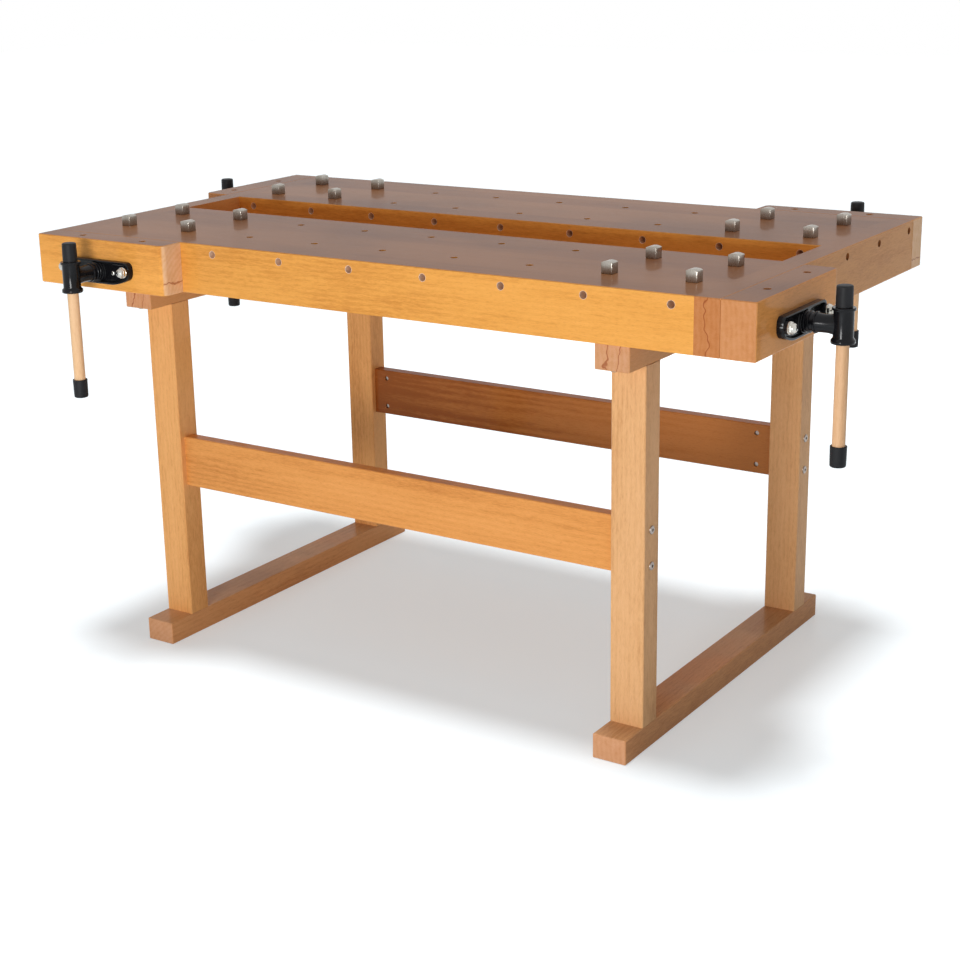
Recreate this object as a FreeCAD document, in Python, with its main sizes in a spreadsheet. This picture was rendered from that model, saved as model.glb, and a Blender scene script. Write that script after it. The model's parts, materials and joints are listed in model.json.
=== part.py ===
import FreeCAD, Part
import math
import os
import Sketcher

# Woodworking bench with four vises. +Z up, +X along the bench, +Y to the back, origin on the floor
# under the middle of the top. The bench looks the same after half a turn about Z, so each back or
# left piece is the front or right one turned.

doc = FreeCAD.newDocument("WoodworkingBench")
sheet = doc.addObject("Spreadsheet::Sheet", "Dim")

SIZES = {
    # top
    "bench_height": 860,
    "bench_length": 1480,
    "bench_depth": 852,
    "frame_height": 98,
    "apron_thickness": 47,
    "plank_thickness": 38,
    "well_width": 170,
    "panel_thickness": 6,
    "panel_lap": 30,
    "tongue_reach": 10,
    "tongue_height": 8,
    "tongue_rise": 3,
    "tenon_reach": 25,
    "tenon_thickness": 17,
    "tenon_height": 50,
    "tenon_rise": 13,
    "wood_play": 0.2,
    "arris": 1.5,
    # holes for the dogs
    "dog_hole_radius": 7,
    "dog_pitch": 160,
    "dog_end_inset": 100,
    "dog_face_inset": 106,
    "side_pitch": 163,
    "side_hole_drop": 18,
    "side_hole_depth": 40,
    "side_hole_inset": 88,
    "side_hole_gap": 80,
    "well_hole_wall": 12,
    "end_hole_pitch": 155,
    "end_hole_inset": 21,
    "end_hole_gap": 100,
    # trestles
    "trestle_setback": 201.5,
    "timber_width": 67,
    "foot_setback": 5,
    "foot_height": 47,
    "bearer_setback": 9.5,
    "bearer_height": 47,
    "leg_depth": 52.5,
    "leg_setback": 68.5,
    "leg_tenon_width": 33,
    "leg_tenon_depth": 27,
    "leg_tenon_reach": 30,
    "rail_thickness": 27,
    "rail_height": 105,
    "rail_rise": 330,
    "bolt_spread": 67,
    "bolt_radius": 4,
    "bolt_length": 105,
    "bolt_head_radius": 8,
    "bolt_head_height": 5,
    "bolt_socket_radius": 2.9,
    "bolt_socket_depth": 3,
    "bolt_play": 0.3,
    "bolt_chamfer": 1,
    "top_bolt_inset": 21,
    "top_bolt_room": 2,
    "rail_bolt_room": 6,
    "barrel_nut_radius": 5,
    "barrel_nut_length": 20,
    "barrel_nut_inset": 34,
    "barrel_nut_play": 0.2,
    "barrel_nut_room": 1,
    "barrel_nut_chamfer": 0.6,
    # vise jaws
    "face_jaw_length": 334,
    "face_jaw_thickness": 53,
    "end_jaw_length": 328,
    "end_jaw_thickness": 62,
    "jaw_gap": 0.3,
    "jaw_round": 12,
    "jaw_edge": 3,
    "jaw_hole_depth": 40,
    # vise castings and screw
    "spindle_drop": 60,
    "rod_rise": 4.5,
    "rod_spread": 156,
    "rod_radius": 9,
    "rod_reach": 410,
    "running_play": 0.05,
    "wood_bore_play": 1,
    "jaw_bore_play": 0.4,
    "plate_length": 176,
    "plate_top": 22,
    "plate_bottom": 24,
    "plate_flat": 100,
    "plate_end_height": 33,
    "plate_thickness": 13,
    "plate_draft": 8,
    "plate_rim": 5,
    "plate_floor": 8,
    "plate_corner": 12,
    "rod_boss_radius": 13,
    "rod_boss_height": 18,
    "spindle_boss_radius": 21,
    "spindle_radius": 11,
    "spindle_chamfer": 1.5,
    "collar_radius": 20,
    "collar_length": 10,
    "collar_recess": 14,
    "collar_recess_radius": 22,
    "ring_radius": 18.5,
    "ring_neck_radius": 16,
    "ring_length": 3.5,
    "ring_play": 0.3,
    "ring_second": 20,
    "ring_third": 30,
    "arm_radius": 17.5,
    "arm_end_width": 27,
    "arm_end_height": 42,
    "head_reach": 78,
    "hub_radius": 17,
    "hub_height": 60,
    "hub_ring_radius": 20.3,
    "hub_ring_height": 5,
    "hub_foot_height": 7,
    "pin_hole_radius": 1.5,
    "washer_radius": 10.8,
    "washer_thickness": 2,
    "cap_nut_flats": 18,
    "cap_nut_height": 5,
    "cap_nut_dome": 6,
    "handle_length": 306,
    "handle_radius": 11,
    "handle_play": 0.3,
    "cap_radius": 14.25,
    "cap_length": 36,
    "cap_wall": 4,
    "cap_round": 2.5,
    # guide castings under the planks
    "guide_inset": 124,
    "guide_dog_room": 40,
    "guide_width": 204,
    "guide_plate": 8,
    "guide_boss_radius": 16,
    "guide_nut_radius": 20,
    "guide_nut_length": 60,
    "guide_web": 8,
    "guide_web_drop": 14,
    # bench dogs
    "dog_head_width": 21.5,
    "dog_head_height": 19.5,
    "dog_crown": 2.5,
    "dog_edge": 1.5,
    "dog_shank_radius": 6.9,
    "dog_shank_length": 42,
}
for row, (alias, value) in enumerate(SIZES.items(), start=1):
    sheet.set("A%d" % row, alias)
    sheet.set("B%d" % row, str(value))
    sheet.setAlias("B%d" % row, alias)

# sizes worked out from the ones above
DERIVED = {
    "frame_bottom": "bench_height - frame_height",
    "plank_bottom": "bench_height - plank_thickness",
    "half_length": "bench_length / 2",
    "half_depth": "bench_depth / 2",
    "inner_length": "bench_length - 2 * apron_thickness",
    "plank_edge": "bench_depth / 2 - apron_thickness",
    "side_hole_height": "bench_height - side_hole_drop",
    "spindle_height": "bench_height - spindle_drop",
    "rod_height": "bench_height - spindle_drop + rod_rise",
    "face_vise_place": "bench_length / 2 - face_jaw_length / 2",
    "end_vise_place": "bench_depth / 2 - end_jaw_length / 2",
    "rod_bore": "rod_radius + wood_bore_play",
    "spindle_bore": "spindle_radius + wood_bore_play",
    # columns of dog holes along the bench and rows across it, both from the middle
    "outer_column": "half_length - dog_end_inset",
    "inner_column": "outer_column - dog_pitch",
    "outer_row": "half_depth - dog_face_inset",
    "inner_row": "outer_row - dog_pitch",
    "free_columns": "floor(2 * (inner_column - dog_pitch) / dog_pitch) + 1",
    "free_reach": "(free_columns - 1) * dog_pitch / 2",
    # holes in the aprons, the well's walls and the end boards
    "side_hole_last": "half_length - side_hole_inset",
    "side_hole_room": "side_hole_last + half_length - face_jaw_length - side_hole_gap",
    "side_hole_count": "floor(side_hole_room / side_pitch) + 1",
    "side_hole_first": "side_hole_last - (side_hole_count - 1) * side_pitch",
    "well_hole_count": "floor(2 * side_hole_last / side_pitch) + 1",
    "well_hole_reach": "(well_hole_count - 1) * side_pitch / 2",
    "well_hole_depth": "inner_row - well_width / 2 - dog_hole_radius - well_hole_wall",
    "end_hole_last": "half_depth - end_hole_inset",
    "end_hole_room": "end_hole_last + half_depth - end_jaw_length - end_hole_gap",
    "end_hole_count": "floor(end_hole_room / end_hole_pitch) + 1",
    "end_hole_first": "end_hole_last - (end_hole_count - 1) * end_hole_pitch",
    # trestles
    "trestle_place": "half_length - trestle_setback",
    "foot_length": "bench_depth - 2 * foot_setback",
    "bearer_length": "bench_depth - 2 * bearer_setback",
    "leg_bottom": "foot_height",
    "leg_top": "bench_height - frame_height - bearer_height",
    "leg_centre": "half_depth - leg_setback - leg_depth / 2",
    "rail_end": "trestle_place - timber_width / 2",
    "bolt_bore": "bolt_radius + bolt_play",
    "rail_centre": "rail_rise + rail_height / 2",
    "top_bolt_place": "half_depth - top_bolt_inset",
    "barrel_place": "rail_end - barrel_nut_inset",
    # vises
    "spindle_boss_height": "plate_thickness",
    "ring_first": "spindle_boss_height + ring_play",
    "guide_drop": "spindle_drop - plank_thickness",
    "guide_length": "dog_pitch - guide_dog_room",
}
for row, (alias, rule) in enumerate(DERIVED.items(), start=1):
    sheet.set("D%d" % row, alias)
    sheet.set("E%d" % row, "=" + rule)
    sheet.setAlias("E%d" % row, alias)
doc.recompute()

V = FreeCAD.Vector


def dim(rule):
    """Value of a rule written with the sheet's names."""
    return float(sheet.evalExpression(bound(rule)))


def bound(rule):
    """The rule with each of the sheet's names made a reference to its cell."""
    text = ""
    word = ""
    for sign in str(rule) + " ":
        if sign.isalnum() or sign == "_":
            word += sign
            continue
        known = word in SIZES or word in DERIVED
        text += ("Dim." + word if known else word) + sign
        word = ""
    return text.strip()


def tie(thing, path, rule):
    thing.setExpression(path, bound(rule))


# ---------------------------------------------------------------- sketches

def new_body(name):
    body = doc.addObject("PartDesign::Body", name)
    body.Label = name
    body.AllowCompound = True
    return body


def datum(body, role):
    return [item for item in body.Origin.OriginFeatures if item.Role == role][0]


def new_sketch(body, name, plane, lift="0"):
    """Sketch on one of the body's own planes, moved along that plane's normal by lift."""
    sketch = body.newObject("Sketcher::SketchObject", name)
    sketch.AttachmentSupport = (datum(body, plane), [""])
    sketch.MapMode = "FlatFace"
    if lift != "0":
        sketch.AttachmentOffset = FreeCAD.Placement(V(0, 0, dim(lift)), FreeCAD.Rotation())
        tie(sketch, "AttachmentOffset.Base.z", lift)
    return sketch


def pin_point(sketch, geometry, vertex, place):
    """Dimension a vertex from the sketch's origin, both ways."""
    for kind, rule in zip(("DistanceX", "DistanceY"), place):
        index = sketch.addConstraint(
            Sketcher.Constraint(kind, -1, 1, geometry, vertex, dim(rule)))
        tie(sketch, "Constraints[%d]" % index, rule)


def add_outline(sketch, corners):
    first = sketch.GeometryCount
    count = len(corners)
    spots = [V(dim(x), dim(y), 0) for x, y in corners]
    for i in range(count):
        sketch.addGeometry(Part.LineSegment(spots[i], spots[(i + 1) % count]), False)
    for i in range(count):
        sketch.addConstraint(
            Sketcher.Constraint("Coincident", first + i, 2, first + (i + 1) % count, 1))
        pin_point(sketch, first + i, 1, corners[i])


def add_axis(sketch, start, end):
    line = Part.LineSegment(V(dim(start[0]), dim(start[1]), 0), V(dim(end[0]), dim(end[1]), 0))
    index = sketch.addGeometry(line, True)
    pin_point(sketch, index, 1, start)
    pin_point(sketch, index, 2, end)


def add_round(sketch, centre, radius):
    spot = V(dim(centre[0]), dim(centre[1]), 0)
    index = sketch.addGeometry(Part.Circle(spot, V(0, 0, 1), dim(radius)), False)
    pin_point(sketch, index, 3, centre)
    held = sketch.addConstraint(Sketcher.Constraint("Radius", index, dim(radius)))
    tie(sketch, "Constraints[%d]" % held, radius)


def add_oval(sketch, width, height):
    """Upright ellipse about the sketch's origin."""
    shape = Part.Ellipse(V(0, dim(height) / 2, 0), V(dim(width) / 2, 0, 0), V(0, 0, 0))
    index = sketch.addGeometry(shape, False)
    sketch.exposeInternalGeometry(index)
    pin_point(sketch, index, 3, ("0", "0"))
    sketch.addConstraint(Sketcher.Constraint("Vertical", index + 1))
    for line, rule in ((index + 1, height), (index + 2, width)):
        held = sketch.addConstraint(Sketcher.Constraint("Distance", line, dim(rule)))
        tie(sketch, "Constraints[%d]" % held, rule)


def box_corners(x0, x1, y0, y1):
    return [(x0, y0), (x1, y0), (x1, y1), (x0, y1)]


# ---------------------------------------------------------------- features

def solid_of(body):
    doc.recompute()
    return body.Tip.Shape


def pad(body, sketch, length, both=False, reverse=False, draft=None):
    feature = body.newObject("PartDesign::Pad", "Pad_" + sketch.Name)
    feature.Profile = sketch
    feature.Length = dim(length)
    tie(feature, "Length", length)
    if both:
        feature.SideType = "Symmetric"
    feature.Reversed = reverse
    if draft:
        feature.TaperAngle = -dim(draft)
        tie(feature, "TaperAngle", "-(" + draft + ")")
    doc.recompute()
    return feature


def pocket(body, sketch, length, both=False, reverse=False):
    """Pocket that must take material away."""
    before = solid_of(body).Volume
    feature = body.newObject("PartDesign::Pocket", "Cut_" + sketch.Name)
    feature.Profile = sketch
    feature.Length = dim(length)
    tie(feature, "Length", length)
    if both:
        feature.SideType = "Symmetric"
    feature.Reversed = reverse
    doc.recompute()
    if feature.Shape.Volume > before - 0.01:
        raise RuntimeError("nothing cut by " + feature.Name)
    return feature


def turn(body, sketch, axis):
    feature = body.newObject("PartDesign::Revolution", "Turn_" + sketch.Name)
    feature.Profile = sketch
    feature.ReferenceAxis = (sketch, [axis])
    feature.Angle = 360
    doc.recompute()
    return feature


def pattern(body, original, *rows):
    """Row, or rows and columns, of one feature: axis, pitch and count of each."""
    feature = body.newObject("PartDesign::LinearPattern", "Row_" + original.Name)
    feature.Originals = [original]
    for mark, (axis, pitch, count) in zip(("", "2"), rows):
        length = "(" + count + " - 1) * " + pitch
        setattr(feature, "Direction" + mark, (datum(body, axis), [""]))
        setattr(feature, "Length" + mark, dim(length))
        tie(feature, "Length" + mark, length)
        setattr(feature, "Occurrences" + mark, round(dim(count)))
        tie(feature, "Occurrences" + mark, count)
    body.Tip = feature
    doc.recompute()
    return feature


def dress(body, kind, size, test):
    """Fillet or Chamfer on the edges of the tip whose middle point passes the test."""
    base = body.Tip
    names = []
    for number, edge in enumerate(base.Shape.Edges, start=1):
        middle = edge.valueAt((edge.FirstParameter + edge.LastParameter) / 2)
        if test(edge, middle):
            names.append("Edge%d" % number)
    if not names:
        raise RuntimeError("no edge to dress on " + body.Label)
    feature = body.newObject("PartDesign::" + kind, kind + "_" + body.Name)
    feature.Base = (base, names)
    path = "Radius" if kind == "Fillet" else "Size"
    setattr(feature, path, dim(size))
    tie(feature, path, size)
    doc.recompute()
    return feature


def near(a, b):
    return abs(a - b) < 0.01


def along(edge, axis):
    box = edge.BoundBox
    spans = {"x": box.XLength, "y": box.YLength, "z": box.ZLength}
    rest = [span for name, span in spans.items() if name != axis]
    return spans[axis] > 5 and max(rest) < 0.01


def place(thing, x="0", y="0", z="0", quarter_turns=0):
    """Put a piece in the bench's frame: quarter turns about Z, then the move."""
    turned = FreeCAD.Rotation(V(0, 0, 1), 90 * quarter_turns)
    thing.Placement = FreeCAD.Placement(V(dim(x), dim(y), dim(z)), turned)
    for path, rule in (("x", x), ("y", y), ("z", z)):
        tie(thing, "Placement.Base." + path, rule)


NODES = []


def keep(thing):
    NODES.append(thing)
    return thing


# ---------------------------------------------------------------- top

def plank(name, quarter_turns):
    """Half of the top, modelled as the front one: tongue towards the apron, dog holes, well wall."""
    body = new_body(name)
    profile = new_sketch(body, "Section_" + name, "YZ_Plane")
    tongue_low = "plank_bottom + tongue_rise"
    tongue_high = tongue_low + " + tongue_height"
    add_outline(profile, [
        ("-well_width / 2", "plank_bottom"),
        ("-well_width / 2", "bench_height"),
        ("-plank_edge", "bench_height"),
        ("-plank_edge", tongue_high),
        ("-plank_edge - tongue_reach", tongue_high),
        ("-plank_edge - tongue_reach", tongue_low),
        ("-plank_edge", tongue_low),
        ("-plank_edge", "plank_bottom"),
    ])
    pad(body, profile, "inner_length", both=True)
    dress(body, "Chamfer", "arris", lambda edge, at: along(edge, "x")
          and near(at.y, -dim("well_width / 2")) and near(at.z, dim("bench_height")))
    for part, start, columns in (("left", "-outer_column", "2"),
                                 ("middle", "-free_reach", "free_columns"),
                                 ("right", "inner_column", "2")):
        hole = new_sketch(body, "Dog_hole_%s_%s" % (part, name), "XY_Plane", "bench_height")
        add_round(hole, (start, "-outer_row"), "dog_hole_radius")
        cut = pocket(body, hole, "plank_thickness")
        pattern(body, cut, ("X_Axis", "dog_pitch", columns), ("Y_Axis", "dog_pitch", "2"))
    hole = new_sketch(body, "Well_hole_" + name, "XZ_Plane", "well_width / 2")
    add_round(hole, ("-well_hole_reach", "side_hole_height"), "dog_hole_radius")
    cut = pocket(body, hole, "well_hole_depth", reverse=True)
    pattern(body, cut, ("X_Axis", "side_pitch", "well_hole_count"))
    place(body, quarter_turns=quarter_turns)
    return keep(body)


def apron(name, quarter_turns):
    """Long side of the frame: groove for the plank, end tenons, bores for its vise, side holes."""
    body = new_body(name)
    profile = new_sketch(body, "Section_" + name, "YZ_Plane")
    groove_low = "plank_bottom + tongue_rise - wood_play"
    groove_high = "plank_bottom + tongue_rise + tongue_height + wood_play"
    groove_end = "-plank_edge - tongue_reach - wood_play"
    add_outline(profile, [
        ("-half_depth", "frame_bottom"),
        ("-plank_edge", "frame_bottom"),
        ("-plank_edge", groove_low),
        (groove_end, groove_low),
        (groove_end, groove_high),
        ("-plank_edge", groove_high),
        ("-plank_edge", "bench_height"),
        ("-half_depth", "bench_height"),
    ])
    pad(body, profile, "inner_length", both=True)
    dress(body, "Chamfer", "arris",
          lambda edge, at: along(edge, "x") and near(at.y, -dim("half_depth")))
    middle = "-half_depth + apron_thickness / 2"
    tenon = new_sketch(body, "Tenon_" + name, "YZ_Plane")
    add_outline(tenon, box_corners(
        middle + " - tenon_thickness / 2", middle + " + tenon_thickness / 2",
        "frame_bottom + tenon_rise", "frame_bottom + tenon_rise + tenon_height"))
    pad(body, tenon, "inner_length + 2 * tenon_reach", both=True)
    hole = new_sketch(body, "Side_hole_" + name, "XZ_Plane", "half_depth")
    add_round(hole, ("side_hole_first", "side_hole_height"), "dog_hole_radius")
    cut = pocket(body, hole, "side_hole_depth")
    pattern(body, cut, ("X_Axis", "side_pitch", "side_hole_count"))
    bores = new_sketch(body, "Vise_bores_" + name, "XZ_Plane", "half_depth")
    add_round(bores, ("-face_vise_place", "spindle_height"), "spindle_bore")
    for side in ("-", "+"):
        add_round(bores, ("-face_vise_place " + side + " rod_spread / 2", "rod_height"), "rod_bore")
    pocket(body, bores, "apron_thickness")
    bores = new_sketch(body, "Bolt_bores_" + name, "XY_Plane", "frame_bottom")
    for side in ("-", "+"):
        add_round(bores, (side + "trestle_place", "-top_bolt_place"), "bolt_bore")
    pocket(body, bores, "bolt_length - bearer_height + top_bolt_room", reverse=True)
    place(body, quarter_turns=quarter_turns)
    return keep(body)


def end_board(name, quarter_turns):
    """Short side of the frame over the full depth, modelled as the right one."""
    body = new_body(name)
    profile = new_sketch(body, "Section_" + name, "XZ_Plane")
    add_outline(profile, box_corners(
        "inner_length / 2", "half_length", "frame_bottom", "bench_height"))
    pad(body, profile, "bench_depth", both=True)
    dress(body, "Chamfer", "arris", lambda edge, at: near(at.x, dim("half_length"))
          or near(abs(at.y), dim("half_depth")) and along(edge, "x"))
    mortises = new_sketch(body, "Mortises_" + name, "YZ_Plane", "inner_length / 2")
    for side in ("-", "+"):
        middle = side + "(half_depth - apron_thickness / 2)"
        half = "tenon_thickness / 2 + wood_play"
        add_outline(mortises, box_corners(
            middle + " - (" + half + ")", middle + " + (" + half + ")",
            "frame_bottom + tenon_rise - wood_play",
            "frame_bottom + tenon_rise + tenon_height + wood_play"))
    pocket(body, mortises, "tenon_reach + wood_play", reverse=True)
    bores = new_sketch(body, "Vise_bores_" + name, "YZ_Plane", "half_length")
    add_round(bores, ("-end_vise_place", "spindle_height"), "spindle_bore")
    for side in ("-", "+"):
        add_round(bores, ("-end_vise_place " + side + " rod_spread / 2", "rod_height"), "rod_bore")
    pocket(body, bores, "apron_thickness")
    hole = new_sketch(body, "Side_hole_" + name, "YZ_Plane", "half_length")
    add_round(hole, ("end_hole_first", "side_hole_height"), "dog_hole_radius")
    cut = pocket(body, hole, "side_hole_depth")
    pattern(body, cut, ("Y_Axis", "end_hole_pitch", "end_hole_count"))
    place(body, quarter_turns=quarter_turns)
    return keep(body)


plank("top_plank_front", 0)
plank("top_plank_back", 2)
apron("apron_front", 0)
apron("apron_back", 2)
end_board("end_board_right", 0)
end_board("end_board_left", 2)

well = keep(new_body("well_bottom"))
floor = new_sketch(well, "Panel", "XY_Plane", "plank_bottom - panel_thickness")
add_outline(floor, box_corners("-inner_length / 2", "inner_length / 2",
                               "-well_width / 2 - panel_lap", "well_width / 2 + panel_lap"))
pad(well, floor, "panel_thickness")


# ---------------------------------------------------------------- trestles

def cross_timber(name, side, length, low, height, mortise_up):
    """Foot or bearer across the bench, with mortises for its two legs."""
    body = new_body(name)
    profile = new_sketch(body, "Plan_" + name, "XY_Plane", low)
    add_outline(profile, box_corners("-timber_width / 2", "timber_width / 2",
                                     "-(" + length + ") / 2", "(" + length + ") / 2"))
    pad(body, profile, height)
    ends = dim(length) / 2
    wide = dim("timber_width / 2")
    dress(body, "Chamfer", "arris",
          lambda edge, at: near(abs(at.y), ends) or near(abs(at.x), wide) and along(edge, "y"))
    face = low + " + " + height if mortise_up else low
    mortises = new_sketch(body, "Mortises_" + name, "XY_Plane", face)
    for sign in ("-", "+"):
        centre = sign + "leg_centre"
        half = "(leg_tenon_depth / 2 + wood_play)"
        add_outline(mortises, box_corners(
            "-leg_tenon_width / 2 - wood_play", "leg_tenon_width / 2 + wood_play",
            centre + " - " + half, centre + " + " + half))
    pocket(body, mortises, "leg_tenon_reach + wood_play", reverse=not mortise_up)
    if not mortise_up:
        bores = new_sketch(body, "Bolt_bores_" + name, "XY_Plane", low + " + " + height)
        for sign in ("-", "+"):
            add_round(bores, ("0", sign + "top_bolt_place"), "bolt_bore")
        pocket(body, bores, height)
    place(body, x=side + "trestle_place")
    return keep(body)


def leg(name, side, end):
    """Upright with a tenon at each end and the two bores for the rail's bolts."""
    body = new_body(name)
    profile = new_sketch(body, "Plan_" + name, "XY_Plane", "leg_bottom")
    add_outline(profile, box_corners("-timber_width / 2", "timber_width / 2",
                                     "-leg_depth / 2", "leg_depth / 2"))
    pad(body, profile, "leg_top - leg_bottom")
    dress(body, "Chamfer", "arris", lambda edge, at: along(edge, "z"))
    tenon = new_sketch(body, "Tenons_" + name, "XY_Plane", "(leg_top + leg_bottom) / 2")
    add_outline(tenon, box_corners("-leg_tenon_width / 2", "leg_tenon_width / 2",
                                   "-leg_tenon_depth / 2", "leg_tenon_depth / 2"))
    pad(body, tenon, "leg_top - leg_bottom + 2 * leg_tenon_reach", both=True)
    bores = new_sketch(body, "Bolt_bores_" + name, "YZ_Plane")
    for sign in ("-", "+"):
        add_round(bores, ("0", "rail_centre " + sign + " bolt_spread / 2"), "bolt_bore")
    pocket(body, bores, "timber_width + 2", both=True)
    place(body, x=side + "trestle_place", y=end + "leg_centre")
    return keep(body)


def rail(name, quarter_turns):
    """Long rail between the trestles, modelled as the front one, with bolt and barrel-nut holes."""
    body = new_body(name)
    profile = new_sketch(body, "Section_" + name, "YZ_Plane")
    add_outline(profile, box_corners("-leg_centre - rail_thickness / 2",
                                     "-leg_centre + rail_thickness / 2",
                                     "rail_rise", "rail_rise + rail_height"))
    pad(body, profile, "2 * rail_end", both=True)
    dress(body, "Chamfer", "arris", lambda edge, at: along(edge, "x"))
    for side, lift, back in (("left", "-rail_end", True), ("right", "rail_end", False)):
        bores = new_sketch(body, "Bolt_bores_%s_%s" % (side, name), "YZ_Plane", lift)
        for sign in ("-", "+"):
            add_round(bores, ("-leg_centre", "rail_centre " + sign + " bolt_spread / 2"), "bolt_bore")
        pocket(body, bores, "bolt_length - timber_width + rail_bolt_room", reverse=back)
    nuts = new_sketch(body, "Nut_holes_" + name, "XZ_Plane", "leg_centre - rail_thickness / 2")
    for side in ("-", "+"):
        for sign in ("-", "+"):
            add_round(nuts, (side + "barrel_place", "rail_centre " + sign + " bolt_spread / 2"),
                      "barrel_nut_radius + barrel_nut_play")
    pocket(body, nuts, "rail_thickness / 2 + barrel_nut_length / 2 + barrel_nut_room",
           reverse=True)
    place(body, quarter_turns=quarter_turns)
    return keep(body)


for side_name, side_sign in (("left", "-"), ("right", "+")):
    cross_timber("foot_" + side_name, side_sign, "foot_length", "0 * foot_height",
                 "foot_height", True)
    cross_timber("bearer_" + side_name, side_sign, "bearer_length", "leg_top",
                 "bearer_height", False)
    for end_name, end_sign in (("front", "-"), ("back", "+")):
        leg("leg_%s_%s" % (end_name, side_name), side_sign, end_sign)
rail("rail_front", 0)
rail("rail_back", 2)


# ---------------------------------------------------------------- bolts and barrel nuts

bolt = new_body("bolt")
section = new_sketch(bolt, "Bolt_section", "XZ_Plane")
add_outline(section, [
    ("0", "-bolt_head_height"),
    ("bolt_head_radius * 0.7", "-bolt_head_height"),
    ("bolt_head_radius", "-bolt_head_height * 0.45"),
    ("bolt_head_radius", "0"),
    ("bolt_radius", "0"),
    ("bolt_radius", "bolt_length - bolt_chamfer"),
    ("bolt_radius - bolt_chamfer", "bolt_length"),
    ("0", "bolt_length"),
])
turn(bolt, section, "V_Axis")
socket = new_sketch(bolt, "Bolt_socket", "XY_Plane", "-bolt_head_height")
add_outline(socket, [("bolt_socket_radius * %.6f" % math.cos(math.radians(60 * k)),
                      "bolt_socket_radius * %.6f" % math.sin(math.radians(60 * k)))
                     for k in range(6)])
pocket(bolt, socket, "bolt_socket_depth", reverse=True)

nut = new_body("barrel_nut")
section = new_sketch(nut, "Nut_section", "XZ_Plane")
add_round(section, ("0", "0"), "barrel_nut_radius")
pad(nut, section, "barrel_nut_length", both=True)
dress(nut, "Chamfer", "barrel_nut_chamfer",
      lambda edge, at: near(abs(at.y), dim("barrel_nut_length / 2")))
cross = new_sketch(nut, "Nut_thread", "YZ_Plane")
add_round(cross, ("0", "0"), "bolt_radius + running_play")
pocket(nut, cross, "3 * barrel_nut_radius", both=True)


def group(name, source, places):
    """One node with a copy of the source's solid at each place."""
    thing = doc.addObject("Part::Feature", name)
    thing.Label = name
    copies = []
    for where in places:
        copy = source.Shape.copy()
        copy.Placement = where
        copies.append(copy)
    thing.Shape = Part.makeCompound(copies)
    return keep(thing)


bolt_places = []
nut_places = []
for side in (-1, 1):
    outer_face = side * dim("trestle_place + timber_width / 2")
    inward = FreeCAD.Rotation(V(0, 1, 0), -90 * side)
    for end in (-1, 1):
        for level in (-1, 1):
            height = dim("rail_centre") + level * dim("bolt_spread / 2")
            bolt_places.append(FreeCAD.Placement(
                V(outer_face, end * dim("leg_centre"), height), inward))
            nut_places.append(FreeCAD.Placement(
                V(side * dim("barrel_place"), end * dim("leg_centre"), height),
                FreeCAD.Rotation()))
        bolt_places.append(FreeCAD.Placement(
            V(side * dim("trestle_place"), end * dim("top_bolt_place"), dim("leg_top")),
            FreeCAD.Rotation()))
group("frame_bolts", bolt, bolt_places)
group("barrel_nuts", nut, nut_places)


# ---------------------------------------------------------------- vises
#
# A vise is modelled with its origin where the spindle's axis meets the bench's face: X along the
# jaw, with the bench's corner at -X, and the jaw opening towards -Y.

FACING = ("front", "right", "back", "left")
VISES = [
    ("front_left", "face", "front"),
    ("right_front", "end", "right"),
    ("back_right", "face", "back"),
    ("left_back", "end", "left"),
]


def vise_spot(vise, reach):
    """Place on the bench of a point of the vise's axis that stands out of the face by reach."""
    side = vise[2]
    if side == "front":
        return "-face_vise_place", "-half_depth - (" + reach + ")"
    if side == "right":
        return "half_length + " + reach, "-end_vise_place"
    if side == "back":
        return "face_vise_place", "half_depth + " + reach
    return "-half_length - (" + reach + ")", "end_vise_place"


def set_vise(thing, vise, reach="0", lift="0"):
    x, y = vise_spot(vise, reach)
    place(thing, x=x, y=y, z="spindle_height + " + lift, quarter_turns=FACING.index(vise[2]))
    return keep(thing)


def outward(kind, reach):
    """Distance from the bench's face of what stands out from the jaw's front by reach."""
    return "jaw_gap + %s_jaw_thickness + %s" % (kind, reach)


def jaw(vise):
    name, kind = vise[:2]
    body = new_body("jaw_" + name)
    long = kind + "_jaw_length"
    profile = new_sketch(body, "Face_" + name, "XZ_Plane", "jaw_gap")
    add_outline(profile, box_corners("-%s / 2" % long, "%s / 2" % long,
                                     "spindle_drop - frame_height", "spindle_drop"))
    pad(body, profile, kind + "_jaw_thickness")
    front = -dim(outward(kind, "0"))
    half = dim(long) / 2
    dress(body, "Fillet", "jaw_round",
          lambda edge, at: along(edge, "z") and near(at.y, front) and near(at.x, half))
    dress(body, "Fillet", "jaw_edge",
          lambda edge, at: along(edge, "z") and near(at.y, front) and near(at.x, -half))
    dress(body, "Chamfer", "arris",
          lambda edge, at: near(at.y, front) and along(edge, "x"))
    recess = new_sketch(body, "Recess_" + name, "XZ_Plane", "jaw_gap")
    add_round(recess, ("0", "0"), "collar_recess_radius")
    pocket(body, recess, "collar_recess", reverse=True)
    bores = new_sketch(body, "Bores_" + name, "XZ_Plane", outward(kind, "0"))
    add_round(bores, ("0", "0"), "spindle_radius + jaw_bore_play")
    for sign in ("-", "+"):
        add_round(bores, (sign + "rod_spread / 2", "rod_rise"), "rod_radius + jaw_bore_play")
    pocket(body, bores, kind + "_jaw_thickness")
    # the two dog holes stand on the lines of the top's dog holes
    holes = new_sketch(body, "Dog_holes_" + name, "XY_Plane", "spindle_drop")
    middle = "-(jaw_gap + %s_jaw_thickness / 2)" % kind
    line = "column" if kind == "face" else "row"
    for ring in ("outer", "inner"):
        add_round(holes, ("%s_vise_place - %s_%s" % (kind, ring, line), middle), "dog_hole_radius")
    pocket(body, holes, "jaw_hole_depth")
    return set_vise(body, vise)


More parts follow.
